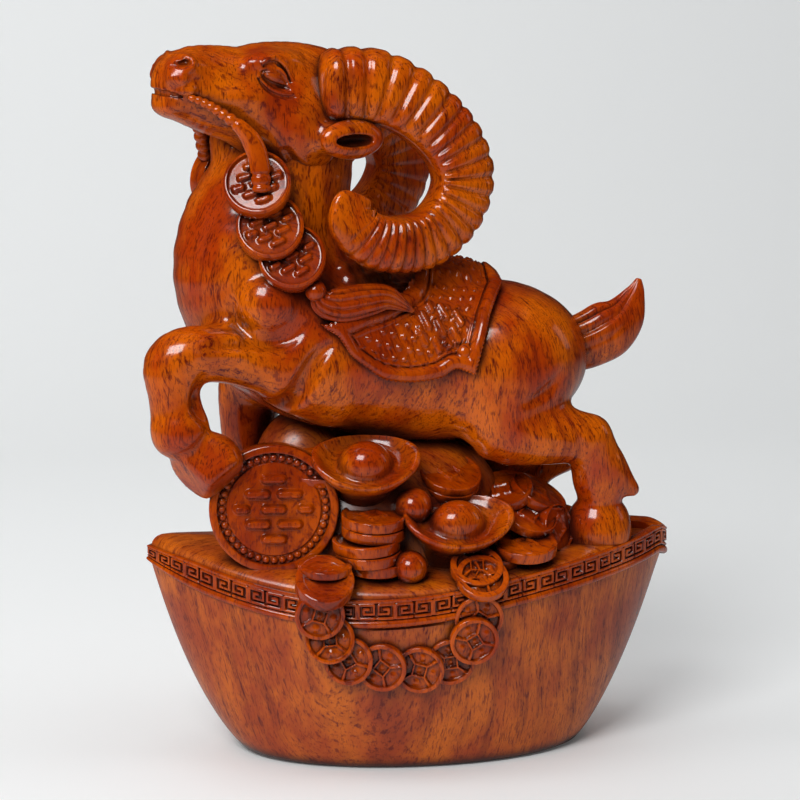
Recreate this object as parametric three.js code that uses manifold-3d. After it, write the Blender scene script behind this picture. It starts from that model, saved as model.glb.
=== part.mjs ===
// A carved wooden ram on a boat-shaped ingot base, with a saddle cloth, coins and a pile of treasure.
// It is cut from one block, so it is one closed solid. Millimetres, +Z up. The origin is the middle of
// the flat underside, the ram looks along -X, and -Y is the side with the raised foreleg and big coin.
import * as THREE from 'three';
import { mergeVertices } from 'three/addons/utils/BufferGeometryUtils.js';
import Module from 'manifold-3d';

// Ingot base
const BASE_LENGTH = 147;        // over the two pointed tips of the rim
const BASE_WIDTH = 78;          // over the rim, in the middle
const RIM_HEIGHT = 50.8;        // top of the rim in the middle of a long side
const TIP_RISE = 9.6;           // how much higher the rim's tips are
const FOOT_LENGTH = 92;
const FOOT_WIDTH = 56;
const HULL_CURVE = 0.73;        // exponent of the hull's swell: 1 is a straight flare
const RIM_POINT = 1.6;          // exponent of the rim's outline: 1 is an ellipse, 2 a lens
const FOOT_POINT = 0.9;         // the same for the foot, which is fuller than an ellipse
const BAND_HEIGHT = 5.2;        // the band that carries the key fret
const BAND_PROUD = 1.1;
const RIM_LIP = 2.2;
const DECK_CROWN = 5.4;         // how far the deck swells above the rim
const DECK_FULLNESS = 0.5;      // exponent of the deck's swell: smaller is flatter on top
const BASE_SIDES = 28;

// Figure
const DECK_HEIGHT = 56;         // the level that the hooves stand on
const FIGURE_HEIGHT = 144;      // from the deck to the brow and the top of the horns
const FIGURE_X = -0.85;         // where the figure's own middle stands on the deck
const HEAD_TURN = 17;           // degrees towards the -Y side
const FAR_SIDE = 1;
const NEAR_SIDE = -1;

// Horns
const HORN_RIBS = 17;
const HORN_RIBBED = 0.83;       // share of the horn's length that has ribs
const HORN_GROOVE = 0.13;       // groove depth as a share of the horn's half width
const HORN_SQUARE = 2.8;        // exponent of the horn's section: 2 is an ellipse
const HORN_SIDES = 6;
const FAR_HORN_STOUT = 1.3;     // how much thicker the far horn's back is, towards its loop

// Saddle cloth
const CLOTH_THICK = 1.5;
const CLOTH_BORDER = 3.2;
const CLOTH_BORDER_PROUD = 0.9;

// Coins
const BIG_COIN_RADIUS = 17.3;
const BIG_COIN_THICK = 7;
const BIG_COIN_BEADS = 20;
const STRAP_COIN_RADIUS = 9;
const STRAP_COIN_THICK = 2.6;
const SWAG_COIN_RADIUS = 6.7;
const SWAG_COIN_THICK = 2.6;
const SWAG_COINS = 8;           // in the hanging part
const SWAG_SWEEP = 80;          // degrees that the hanging part turns to either side
const SWAG_MIDDLE_X = -8;
const SWAG_HALF_WIDTH = 21;
const SWAG_DROP = 16.6;
const PILE_COIN_RADIUS = 9.4;
const PILE_COIN_THICK = 3;
const FRONT_BEAD_RADIUS = 4.5;
const FRONT_BEAD_INSET = 4;     // from the deck's edge to the middle of the bead in front of the pile

// The figure's pose and proportions are typed below for a height of 144 and scale with its height.
const SCALE = FIGURE_HEIGHT / 144;
const wasm = await Module();
wasm.setup();

// Joining and cutting

function closedMesh(geometry) {
  const bare = geometry.clone();
  bare.deleteAttribute('normal');
  bare.deleteAttribute('uv');
  const merged = mergeVertices(bare, 1e-5);
  const index = merged.index.array;
  const faces = [];
  for (let i = 0; i < index.length; i += 3) {
    const [a, b, c] = [index[i], index[i + 1], index[i + 2]];
    if (a !== b && b !== c && c !== a) {
      faces.push(a, b, c);
    }
  }
  return { vertices: merged.attributes.position.array, faces };
}

function signedVolume(vertices, faces) {
  const [a, b, c] = [new THREE.Vector3(), new THREE.Vector3(), new THREE.Vector3()];
  let total = 0;
  for (let i = 0; i < faces.length; i += 3) {
    a.fromArray(vertices, 3 * faces[i]);
    b.fromArray(vertices, 3 * faces[i + 1]);
    c.fromArray(vertices, 3 * faces[i + 2]);
    total += a.dot(b.cross(c));
  }
  return total;
}

function solid(geometry) {
  const { vertices, faces } = closedMesh(geometry);
  if (signedVolume(vertices, faces) < 0) {
    faces.reverse();
  }
  const mesh = new wasm.Mesh({
    numProp: 3,
    vertProperties: Float32Array.from(vertices),
    triVerts: Uint32Array.from(faces),
  });
  return new wasm.Manifold(mesh);
}

function join(solids) {
  return solids.reduce((whole, next) => whole.add(next));
}

function meshOf(manifold) {
  const result = manifold.getMesh();
  const geometry = new THREE.BufferGeometry();
  geometry.setAttribute('position', new THREE.BufferAttribute(Float32Array.from(result.vertProperties), 3));
  geometry.setIndex(new THREE.BufferAttribute(Uint32Array.from(result.triVerts), 1));
  return geometry;
}

// Shapes

// A skin over rings of points, closed to a single point at either end.
function skin(first, rings, last) {
  const sides = rings[0].length;
  const points = [first, ...rings.flat(), last];
  const faces = [];
  const vertex = (ring, side) => 1 + ring * sides + (side % sides);
  for (let side = 0; side < sides; side += 1) {
    faces.push(0, vertex(0, side), vertex(0, side + 1));
    for (let ring = 0; ring < rings.length - 1; ring += 1) {
      const [a, b] = [vertex(ring, side), vertex(ring, side + 1)];
      const [c, d] = [vertex(ring + 1, side), vertex(ring + 1, side + 1)];
      faces.push(a, c, b, b, c, d);
    }
    const end = rings.length - 1;
    faces.push(vertex(end, side), points.length - 1, vertex(end, side + 1));
  }
  const geometry = new THREE.BufferGeometry().setFromPoints(points);
  geometry.setIndex(faces);
  return geometry;
}

// An elliptical section carried along a smooth curve, with domed ends. A station is [x, y, z, half
// height in the plane of the bend, half width along the cross direction]. The carve function gives a
// factor for the section's size from its angle round the path and its place along it.
function limb(stations, options = {}) {
  const { sides = 8, between = 1, cross = [0, 1, 0], dome = 0.8, carve = () => 1, frame = onDeck } = options;
  const path = new THREE.CatmullRomCurve3(stations.map(([x, y, z]) => frame(x, y, z)), false, 'centripetal');
  const girth = new THREE.CatmullRomCurve3(
    stations.map(([, , , tall, wide]) => new THREE.Vector3(tall, wide, 0).multiplyScalar(SCALE)),
  );
  const steps = (stations.length - 1) * between;
  const places = options.places ?? Array.from({ length: steps + 1 }, (_, i) => i / steps);
  const origin = frame(0, 0, 0);
  const crossAxis = frame(...cross).sub(origin).normalize();
  const section = (place, size, push) => {
    const tangent = path.getTangent(place);
    const wideAxis = crossAxis.clone().addScaledVector(tangent, -crossAxis.dot(tangent)).normalize();
    const tallAxis = tangent.clone().cross(wideAxis);
    const centre = path.getPoint(place).addScaledVector(tangent, push);
    const { x: tall, y: wide } = girth.getPoint(place);
    return Array.from({ length: sides }, (_, i) => {
      const angle = (2 * Math.PI * i) / sides;
      const reach = size * carve(angle, place);
      return centre.clone()
        .addScaledVector(tallAxis, reach * tall * Math.cos(angle))
        .addScaledVector(wideAxis, reach * wide * Math.sin(angle));
    });
  };
  const tip = (place, direction) => {
    const { x: tall, y: wide } = girth.getPoint(place);
    return direction * dome * Math.min(tall, wide);
  };
  const endPoint = (place, push) => path.getPoint(place).addScaledVector(path.getTangent(place), push);
  const lean = Math.PI / 4;
  const rings = [section(0, Math.cos(lean), Math.sin(lean) * tip(0, -1))];
  rings.push(...places.map((place) => section(place, 1, 0)));
  rings.push(section(1, Math.cos(lean), Math.sin(lean) * tip(1, 1)));
  return solid(skin(endPoint(0, tip(0, -1)), rings, endPoint(1, tip(1, 1))));
}

function onDeck(x, y, z) {
  return new THREE.Vector3(x, y, z).multiplyScalar(SCALE).add(new THREE.Vector3(FIGURE_X, 0, DECK_HEIGHT));
}

// Places a shape made round the Y axis so that the axis points along the normal.
function placed(geometry, centre, normal) {
  const turn = new THREE.Quaternion().setFromUnitVectors(
    new THREE.Vector3(0, 1, 0),
    new THREE.Vector3(...normal).normalize(),
  );
  return geometry.clone().applyQuaternion(turn).translate(centre.x, centre.y, centre.z);
}

// A coin round the Y axis: a raised rim and a sunk field.
function coin(radius, thick, sides, rim, sunk) {
  const inner = radius * (1 - rim);
  const floor = thick * (0.5 - sunk);
  const profile = [
    [0, -thick / 2], [radius, -thick / 2], [radius, thick / 2],
    [inner, thick / 2], [inner, floor], [0, floor],
  ];
  return new THREE.LatheGeometry(profile.map(([r, y]) => new THREE.Vector2(r, y)), sides);
}

// A rounded bar that lies across a coin's field, along the coin's X axis.
function stroke(length, wide, tall, x, z, turn, y) {
  const bar = new THREE.BoxGeometry(length, tall, wide);
  return bar.rotateY(THREE.MathUtils.degToRad(turn)).translate(x, y, z);
}

function ball(centre, radius) {
  const geometry = new THREE.SphereGeometry(radius, 7, 4);
  return geometry.translate(centre.x, centre.y, centre.z);
}

function egg(centre, radii, sides, rows, lean = 0) {
  const geometry = new THREE.SphereGeometry(1, sides, rows);
  geometry.scale(...radii.map((r) => r * SCALE)).rotateY(THREE.MathUtils.degToRad(lean));
  return solid(geometry.translate(centre.x, centre.y, centre.z));
}

// Ingot base

function rimHeight(x) {
  const along = x / (BASE_LENGTH / 2);
  return RIM_HEIGHT + TIP_RISE * along * along;
}

// The hull's half sizes at a share of the height from the foot to the rim.
function hullHalf(share) {
  const swell = share ** HULL_CURVE;
  return {
    length: FOOT_LENGTH / 2 + swell * (BASE_LENGTH / 2 - BAND_PROUD - FOOT_LENGTH / 2),
    width: FOOT_WIDTH / 2 + swell * (BASE_WIDTH / 2 - BAND_PROUD - FOOT_WIDTH / 2),
  };
}

function outlinePoint(angle, halfLength, halfWidth, point) {
  const side = Math.sin(angle);
  return [
    halfLength * Math.cos(angle),
    Math.sign(side) * halfWidth * Math.abs(side) ** point,
  ];
}

// Half width of the hull at a place along it and a height above the ground.
function hullReach(x, z) {
  const top = rimHeight(x) - BAND_HEIGHT;
  const share = Math.min(z / top, 1);
  const half = hullHalf(share);
  const along = Math.min(Math.abs(x) / half.length, 1);
  const point = FOOT_POINT + (RIM_POINT - FOOT_POINT) * share;
  return half.width * Math.sin(Math.acos(along)) ** point;
}

function ringOf(halfLength, halfWidth, point, heightAt) {
  return Array.from({ length: BASE_SIDES }, (_, i) => {
    const [x, y] = outlinePoint((2 * Math.PI * i) / BASE_SIDES, halfLength, halfWidth, point);
    return new THREE.Vector3(x, y, heightAt(x, y));
  });
}

function ingotBase() {
  const [halfLength, halfWidth] = [BASE_LENGTH / 2, BASE_WIDTH / 2];
  const hull = [0, 0.04, 0.25, 0.6, 1].map((share) => {
    const { length, width } = hullHalf(share);
    const point = FOOT_POINT + (RIM_POINT - FOOT_POINT) * share;
    return ringOf(length, width, point, (x) => share * (rimHeight(x) - BAND_HEIGHT));
  });
  const band = [
    ringOf(halfLength, halfWidth, RIM_POINT, (x) => rimHeight(x) - BAND_HEIGHT),
    ringOf(halfLength, halfWidth, RIM_POINT, (x) => rimHeight(x)),
  ];
  const deck = [0, 0.12, 0.5].map((inward) => {
    const share = 1 - inward;
    const crown = DECK_CROWN * Math.sin((inward * Math.PI) / 2) ** DECK_FULLNESS;
    return ringOf((halfLength - RIM_LIP) * share, (halfWidth - RIM_LIP) * share, RIM_POINT, (x) => {
      const lift = x > 0 ? Math.max(0, 1 - Math.max(0, x - 54) / 6) : 1;
      return rimHeight(x) + (inward === 0 ? 0 : crown * lift - 1.4 * (1 - lift));
    });
  });
  const top = new THREE.Vector3(0, 0, RIM_HEIGHT + DECK_CROWN);
  return solid(skin(new THREE.Vector3(0, 0, 0), [...hull, ...band, ...deck], top));
}

// Height of the deck over a point of it, found from the ring of the deck that passes through the point.
function deckTop(x, y) {
  const [halfLength, halfWidth] = [BASE_LENGTH / 2 - RIM_LIP, BASE_WIDTH / 2 - RIM_LIP];
  const outside = (share) => {
    const along = Math.min(Math.abs(x) / (halfLength * share), 1);
    return Math.abs(y) > halfWidth * share * Math.sin(Math.acos(along)) ** RIM_POINT;
  };
  let [inner, outer] = [0.01, 1];
  for (let i = 0; i < 20; i += 1) {
    const middle = (inner + outer) / 2;
    [inner, outer] = outside(middle) ? [middle, outer] : [inner, middle];
  }
  return rimHeight(x) + DECK_CROWN * Math.sin(((1 - outer) * Math.PI) / 2) ** DECK_FULLNESS;
}

// Half width of the deck at a place along it.
function deckReach(x) {
  const along = Math.abs(x) / (BASE_LENGTH / 2 - RIM_LIP);
  return (BASE_WIDTH / 2 - RIM_LIP) * Math.sin(Math.acos(along)) ** RIM_POINT;
}

// Swag of coins over the front rim

function swag() {
  const coins = [];
  const lay = (x, y, z, facing, thick) => {
    const disc = coin(SWAG_COIN_RADIUS, thick, 8, 0.16, 0.3);
    coins.push(solid(placed(disc, new THREE.Vector3(x, y, z), facing)));
  };
  const last = THREE.MathUtils.degToRad(SWAG_SWEEP);
  for (let i = 0; i < SWAG_COINS; i += 1) {
    const angle = last * ((2 * i) / (SWAG_COINS - 1) - 1);
    const x = SWAG_MIDDLE_X + (SWAG_HALF_WIDTH * Math.sin(angle)) / Math.sin(last);
    const rise = (1 - Math.cos(angle)) / (1 - Math.cos(last));
    const z = RIM_HEIGHT - BAND_HEIGHT - SWAG_DROP * (1 - rise) + 0.5;
    lay(x, -(hullReach(x, z) + 0.15 * SWAG_COIN_THICK), z, [0, -1, -0.25], SWAG_COIN_THICK);
  }
  const [left, right] = [-1, 1].map((end) => SWAG_MIDDLE_X + end * SWAG_HALF_WIDTH);
  const edge = BASE_WIDTH / 2 - SWAG_COIN_RADIUS * 0.6;
  lay(left, -edge, RIM_HEIGHT + 3.2, [0, -0.1, 1], 2 * SWAG_COIN_THICK);
  lay(right + 1.5, -edge - 1.2, RIM_HEIGHT + 2.6, [0.1, -0.75, 1], SWAG_COIN_THICK);
  lay(right - 0.5, -edge + 2.8, RIM_HEIGHT + 4.6, [0, -0.55, 1], SWAG_COIN_THICK);
  return coins;
}

// Ram

// The head's own frame: forward to the muzzle, out to a side, and up, from the head's pivot.
const HEAD_PIVOT = [-29.7, -3, 121.9];
function inHead(forward, out, up) {
  const turn = THREE.MathUtils.degToRad(HEAD_TURN);
  const x = HEAD_PIVOT[0] - forward * Math.cos(turn) - out * Math.sin(turn);
  const y = HEAD_PIVOT[1] - forward * Math.sin(turn) + out * Math.cos(turn);
  return onDeck(x, y, HEAD_PIVOT[2] + up);
}

// The skull, from sections along it: [forward, top, bottom, half width].
function head() {
  const sections = [
    [-12, 12.6, -17, 9.5], [-4, 16.4, -19, 13], [4, 17.8, -16.5, 14], [11, 18.4, -12, 13.6],
    [18, 17.2, -8.6, 11.8], [25, 17.3, -5.8, 9.8], [32, 17.9, -3, 8.6], [37.5, 16.8, -0.6, 8],
    [41, 12, 2.4, 5.8],
  ];
  const sides = 12;
  const rings = sections.map(([forward, top, bottom, wide]) => {
    const middle = (top + bottom) / 2;
    const tall = (top - bottom) / 2;
    return Array.from({ length: sides }, (_, i) => {
      const angle = (2 * Math.PI * i) / sides;
      const narrow = 1 - 0.18 * Math.max(0, -Math.cos(angle));
      return inHead(forward, narrow * wide * Math.sin(angle), middle + tall * Math.cos(angle));
    });
  });
  return solid(skin(inHead(-15, 0, -2), rings, inHead(42, 0, 7)));
}

function headCuts() {
  const mouth = new THREE.BoxGeometry(14, 30, 1.3);
  mouth.rotateY(THREE.MathUtils.degToRad(-10)).rotateZ(THREE.MathUtils.degToRad(HEAD_TURN));
  const middle = inHead(42.5, 0, 5.2);
  const cuts = [solid(mouth.scale(SCALE, SCALE, SCALE).translate(middle.x, middle.y, middle.z))];
  for (const side of [NEAR_SIDE, FAR_SIDE]) {
    cuts.push(egg(inHead(37.4, side * 8.4, 14.6), [2.6, 1.6, 1], 8, 6, -8));
  }
  return cuts;
}

function eye(side) {
  const lid = (places) => limb(places.map(([forward, out, up]) => [forward, side * out, up, 0.9, 0.9]),
    { frame: inHead, sides: 4 });
  const [inner, outer] = [[17.4, 12, 10.8], [7, 13.6, 6.8]];
  return [
    lid([inner, [13.4, 13.2, 14.4], [8.6, 13.6, 11.8], outer]),
    egg(inHead(12, side * 11.9, 10.6), [3.6, 2.4, 2.6], 7, 4, -25),
  ];
}

function ear(side) {
  const shell = limb([
    [-3, side * 12.5, -6.4, 4, 3], [-7, side * 15.5, -6.8, 6, 3.2], [-11.5, side * 18, -6.4, 5.4, 3],
    [-14.6, side * 19.6, -6, 2.6, 1.8],
  ], { frame: inHead, cross: [0.3, side, 0] });
  const slot = egg(inHead(-8.8, side * 19.6, -6.6), [5, 3.2, 1.6], 8, 5);
  return shell.subtract(slot);
}

// A horn curls back, down and forward round an open loop. Its ribs run over the outside, and the wall
// towards the loop is smooth.
function horn(side) {
  const stout = side === FAR_SIDE ? FAR_HORN_STOUT : 0;
  const stations = [
    [-3.5, side * 11.5, 6.2, 9.8, 8.2], [-8.5, side * 12.5, 6.8, 10.2, 8.2], [-15.2, side * 14, 6.6, 10.1, 8],
    [-23.1, side * 16, 3.6, 9.9, 7.8], [-31.1 + stout, side * 18, -2, 9.8 + stout, 7.6],
    [-37.5 + stout, side * 19, -10, 9.7 + stout, 7.5], [-40.4 + stout, side * 19.4, -18.5, 9.6 + stout, 7.4],
    [-37.6 + stout, side * 19.8, -27.4, 9.1 + stout, 7.2],
    [-29.8, side * 20.4, -33.4, 8.3, 6.8], [-20, side * 21, -35, 7.7, 6.4],
    [-11, side * 22, -32.8, 7.2, 5.6], [-5, side * 23, -28.2, 5.4, 4.4], [-3, side * 23.6, -20.6, 1, 1],
  ];
  const ribPlaces = Array.from({ length: 2 * HORN_RIBS + 1 }, (_, i) => (HORN_RIBBED * i) / (2 * HORN_RIBS));
  const tipPlaces = [0.25, 0.5, 0.75, 1].map((share) => HORN_RIBBED + (1 - HORN_RIBBED) * share);
  const carve = (angle, place) => {
    const turn = (2 * Math.PI * HORN_RIBS * place) / HORN_RIBBED;
    const groove = place > HORN_RIBBED ? 0 : 0.5 + 0.5 * Math.cos(turn);
    const [across, along] = [Math.abs(Math.cos(angle)), Math.abs(Math.sin(angle))];
    const square = (across ** HORN_SQUARE + along ** HORN_SQUARE) ** (-1 / HORN_SQUARE);
    return square * (1 - HORN_GROOVE * groove * Math.min(1, 1.1 + Math.cos(angle)));
  };
  const places = [...ribPlaces, ...tipPlaces];
  return limb(stations, { frame: inHead, sides: HORN_SIDES, places, carve, dome: 0.5 });
}

function body() {
  const trunk = limb([
    [41.5, 0, 52, 13.4, 12.5], [34, 0, 52.4, 18.6, 17.5], [22, 0, 52.6, 21.7, 20], [6, 0, 52.6, 23.2, 20.5],
    [-10, 0, 55, 23.8, 21], [-25, 0, 60.6, 24.8, 21.5], [-35.5, 0, 69, 25.2, 21.2], [-40, 0, 79, 24.4, 20.4],
    [-39.4, 0, 90, 22, 18.4], [-34.8, -1, 100, 19, 15.5], [-31.2, -2, 110, 16, 13], [-31, -3, 120, 13, 12],
  ], { sides: 14 });
  const parts = [trunk, head(), ...eye(NEAR_SIDE), ...eye(FAR_SIDE)];
  for (const side of [NEAR_SIDE, FAR_SIDE]) {
    parts.push(ear(side), horn(side), egg(onDeck(-40.5, side * 15, 71.5), [9.6, 8, 9.6], 8, 5));
  }
  parts.push(egg(onDeck(9, 0, 74.5), [13, 9, 4.6], 8, 5));
  return parts;
}

function legs() {
  const [near, far] = [NEAR_SIDE, FAR_SIDE];
  const nearFore = limb([
    [-22, near * 12, 50, 12, 9], [-32, near * 15, 52, 10.6, 8.6], [-41, near * 17, 55, 8, 7.4],
    [-52, near * 19, 58, 7.2, 6.6], [-60.6, near * 20, 58.8, 8, 7], [-65.6, near * 20, 55.6, 8.8, 7],
    [-66.2, near * 20, 49, 7, 6.8],
    [-65.8, near * 20.5, 43, 6.8, 6], [-64.6, near * 21, 37, 7.3, 6.6], [-60.5, near * 21.4, 32.6, 7.8, 7],
    [-57.8, near * 22, 27.4, 7.6, 7.6], [-56, near * 22.4, 21.8, 4.6, 5],
  ]);
  const farFore = limb([
    [-36, far * 12, 54, 11, 8], [-42, far * 13.5, 44, 8.6, 6.6], [-44, far * 14, 34, 6.6, 6],
    [-43, far * 14, 24, 6.4, 6.2], [-41.5, far * 14, 12, 6, 6], [-41, far * 14, 6, 7.6, 7.4],
    [-41, far * 14, 1, 8.8, 8.4],
  ], { dome: 0.2 });
  const nearHind = limb([
    [30.5, near * 9, 56, 15, 11], [27.8, near * 12, 44, 14.4, 10], [26, near * 14, 36.5, 12, 8.6],
    [35, near * 15, 33.8, 9, 7.4], [45.5, near * 15, 33.4, 7.4, 6.6], [50, near * 15, 28.5, 6.9, 6],
    [50.2, near * 15, 22, 6.2, 5.4], [51.8, near * 15, 16.5, 6.4, 5.6], [51.2, near * 14.4, 12, 6.2, 6],
    [51.2, near * 14, 7, 8.2, 7.8], [51.4, near * 14, 1, 8.9, 8.4],
  ], { dome: 0.2 });
  const farHind = limb([
    [30.5, far * 9, 52, 14.5, 10], [28, far * 12, 36.5, 14.4, 9], [26.4, far * 13, 25.5, 11.6, 8],
    [37, far * 13.5, 24.5, 8, 7], [46.4, far * 14, 23, 7, 5.6], [40.5, far * 14, 18, 5, 5.4],
    [35, far * 14, 11.5, 5.4, 5.6], [33.5, far * 14, 2, 7.4, 7],
  ], { dome: 0.2 });
  const spur = limb([
    [53.6, near * 15, 18, 4.4, 4], [57.6, near * 15, 17.8, 3.2, 2.8], [62, near * 15, 17.2, 1, 1],
  ], { sides: 6 });
  const thighs = [near, far].map((side) => egg(onDeck(30.5, side * 10, 54), [16, 11.5, 16], 9, 5));
  return [nearFore, farFore, nearHind, farHind, spur, ...thighs];
}

function tail() {
  const grooves = 6;
  const carve = (angle) => 1 - 0.06 * (1 - Math.cos(grooves * angle));
  return limb([
    [44, 0, 53.4, 6.4, 4.6], [50.5, 0, 55.4, 7, 5], [56.6, 0, 59, 7.9, 5.4], [60.8, 0, 64.4, 6.6, 4.2],
    [63.6, 0, 72, 3, 1.8],
  ], { sides: 12, carve });
}

// Saddle cloth: shells of the trunk's own form, cut to the cloth's outline.
function trunkShell(grow) {
  return limb([
    [38, 0, 52.5, 18.4 + grow, 17.5 + grow], [22, 0, 52.6, 21.5 + grow, 20 + grow],
    [6, 0, 52.6, 23 + grow, 20.5 + grow], [-10, 0, 55, 23.5 + grow, 21 + grow],
    [-26, 0, 61.5, 24.5 + grow, 21.5 + grow], [-36, 0, 70, 25.5 + grow, 21 + grow],
  ], { sides: 14 });
}

function clothOutline(inset) {
  const [front, back] = [-29 + inset, 25 - inset];
  const shape = new THREE.Shape();
  shape.moveTo(front - 6, 84);
  shape.quadraticCurveTo(front - 1, 70, front + 3, 64);
  shape.quadraticCurveTo(-16, 49 + inset, -2, 48 + inset);
  shape.quadraticCurveTo(8, 48 + inset, back - 14, 52.5 + inset);
  shape.quadraticCurveTo(back - 8, 54 + inset, back - 7, 60);
  shape.quadraticCurveTo(back - 4, 70, back, 76);
  shape.lineTo(back + 2, 84);
  shape.closePath();
  const sheet = new THREE.ExtrudeGeometry(shape, { depth: 60, bevelEnabled: false, curveSegments: 3 });
  sheet.rotateX(Math.PI / 2).scale(SCALE, SCALE, SCALE);
  return solid(sheet.translate(0, 30 * SCALE, DECK_HEIGHT));
}

function saddleCloth() {
  const cloth = trunkShell(CLOTH_THICK).intersect(clothOutline(0));
  const frame = clothOutline(0).subtract(clothOutline(CLOTH_BORDER));
  const border = trunkShell(CLOTH_THICK + CLOTH_BORDER_PROUD).intersect(frame);
  return [cloth, border];
}

// Coins on the cords from the mouth, and the tassel

function strapCoins() {
  const places = [
    { at: [-42.9, -19.5, 104.3], face: [-0.35, -1, 0.25] },
    { at: [-39.9, -22.6, 92.6], face: [-0.25, -1, 0.2] },
    { at: [-34.2, -23.8, 84.8], face: [-0.1, -1, 0.25] },
    { at: [-50, 13, 104], face: [-0.8, 1, 0.2] },
  ];
  return places.map(({ at, face }) => {
    const disc = coin(STRAP_COIN_RADIUS * SCALE, STRAP_COIN_THICK * SCALE, 10, 0.12, 0.25);
    return solid(placed(disc, onDeck(...at), face));
  });
}

function cords() {
  const near = limb([
    [-61.2, -19.6, 127.4, 1.3, 1.3], [-51, -20.2, 122.5, 1.7, 1.7], [-46.5, -20.2, 119.5, 2, 2],
    [-43, -20, 113, 2.2, 2.2], [-42.4, -21, 103.5, 2.4, 2.4],
  ], { sides: 5 });
  const far = limb([
    [-56, 0, 125, 1.5, 1.5], [-55, 5, 117, 1.8, 1.8], [-53, 10, 108, 2.2, 2.2],
  ], { sides: 5, cross: [1, 0, 0] });
  return [near, far];
}

function tassel() {
  const knob = solid(ball(onDeck(-27.8, -23.4, 75.8), 2.9 * SCALE));
  const flutes = 5;
  const carve = (angle) => 1 - 0.08 * (1 - Math.cos(flutes * angle));
  const plume = limb([
    [-27, -22.6, 75, 1.4, 1.8], [-22, -22.6, 72.6, 3.8, 3], [-15, -22, 73.4, 4.2, 3],
    [-9, -21, 74.4, 2.6, 2.2], [-4.5, -20, 75.2, 0.8, 0.8],
  ], { carve });
  return [knob, plume];
}

// The big coin under the raised hoof

function bigCoin() {
  const [radius, thick] = [BIG_COIN_RADIUS * SCALE, BIG_COIN_THICK * SCALE];
  const sunk = 0.14;
  const floor = thick * (0.5 - sunk);
  const shapes = [coin(radius, thick, 24, 0.07, sunk)];
  for (let i = 0; i < BIG_COIN_BEADS; i += 1) {
    const angle = (2 * Math.PI * (i + 0.5)) / BIG_COIN_BEADS;
    const bead = new THREE.OctahedronGeometry(0.075 * radius, 0);
    shapes.push(bead.translate(0.84 * radius * Math.cos(angle), floor, 0.84 * radius * Math.sin(angle)));
  }
  for (const row of [-1, 0, 1]) {
    for (const column of [-1, 0, 1]) {
      const turn = 90 * ((row + column + 2) % 2);
      const [x, z] = [0.38 * radius * column, 0.38 * radius * row];
      shapes.push(stroke(0.34 * radius, 0.1 * radius, 0.2 * thick, x, z, turn, floor));
    }
  }
  const whole = meshOf(join(shapes.map(solid)));
  return [solid(placed(whole, onDeck(-39.2, -24, 17.2), [-0.12, -1, 0.14]))];
}

// The pile of treasure

// A small ingot: a boat with a domed middle. Its long axis is X before it is turned.
function smallIngot(at, length, width, height, turn, tip) {
  const sides = 8;
  const rim = (share, z, rise) => Array.from({ length: sides }, (_, i) => {
    const angle = (2 * Math.PI * i) / sides;
    const along = Math.cos(angle);
    const out = share * (width / 2) * Math.sin(angle);
    return new THREE.Vector3(share * (length / 2) * along, out, z + rise * along * along);
  });
  const rise = 0.3 * height;
  const boat = skin(new THREE.Vector3(0, 0, 0), [
    rim(0.55, 0, 0), rim(1, 0.85 * height, rise), rim(0.88, height, rise),
  ], new THREE.Vector3(0, 0, 0.72 * height));
  const dome = new THREE.SphereGeometry(0.5, 7, 4).scale(0.62 * length, 0.62 * width, 0.9 * height);
  dome.translate(0, 0, 0.86 * height);
  const centre = onDeck(...at);
  return [boat, dome].map((shape) => {
    const turned = shape.scale(SCALE, SCALE, SCALE).rotateX(THREE.MathUtils.degToRad(tip));
    turned.rotateZ(THREE.MathUtils.degToRad(turn));
    return solid(turned.translate(centre.x, centre.y, centre.z));
  });
}

function pile() {
  const mounds = [
    egg(onDeck(-8, 0, 4), [38, 27, 28], 9, 6),
    egg(onDeck(24, 0, 2), [27, 22, 14], 8, 4),
    egg(onDeck(-28, -3, 26), [17, 12, 17], 7, 4),
  ];
  const ingots = [
    ...smallIngot([-12.4, -19, 18.5], 28, 20, 9, -6, 16),
    ...smallIngot([10, -26.5, 4], 31, 22, 9, 3, 14),
    ...smallIngot([0, 22, 14], 28, 19, 9, 8, -20),
  ];
  const coinPlaces = [
    { at: [-14.7, -27, 14.4], face: [0, -0.1, 1], size: 1 },
    { at: [-14.2, -27.6, 10.4], face: [0, -0.12, 1], size: 1.03 },
    { at: [-15, -28, 6.4], face: [0, -0.08, 1], size: 1 },
    { at: [10.5, -13, 25], face: [0.15, -0.75, 0.7], size: 0.96 },
    { at: [28, -13, 13], face: [0.25, -0.5, 1], size: 0.9 },
    { at: [30, -28, 3], face: [0, -0.2, 1], size: 1 },
    { at: [-22, 20, 12], face: [-0.2, 0.6, 1], size: 1 },
    { at: [24, 21, 7], face: [0.1, 0.5, 1], size: 1 },
  ];
  const coins = coinPlaces.map(({ at, face, size }) => {
    const radius = PILE_COIN_RADIUS * size * SCALE;
    const disc = new THREE.CylinderGeometry(radius, radius, PILE_COIN_THICK * SCALE, 10);
    return solid(placed(disc, onDeck(...at), face));
  });
  const beads = [[-2.1, -23.5, 16.3, 5.1], [-2, 25, 9, 5]].map(
    ([x, y, z, radius]) => solid(ball(onDeck(x, y, z), radius * SCALE)),
  );
  const [beadX, beadY] = [-5, -(deckReach(-5) - FRONT_BEAD_INSET)];
  const frontBead = new THREE.Vector3(beadX, beadY, deckTop(beadX, beadY) + 0.8 * FRONT_BEAD_RADIUS);
  return [...mounds, ...ingots, ...coins, ...beads, solid(ball(frontBead, FRONT_BEAD_RADIUS))];
}

// Everything joined into the one carved block

const carving = join([
  ...body(), ...legs(), tail(), ...saddleCloth(), ...strapCoins(), ...cords(), ...tassel(),
  ...bigCoin(), ...pile(), ingotBase(), ...swag(),
]);
const cut = headCuts().reduce((whole, tool) => whole.subtract(tool), carving);

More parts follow.
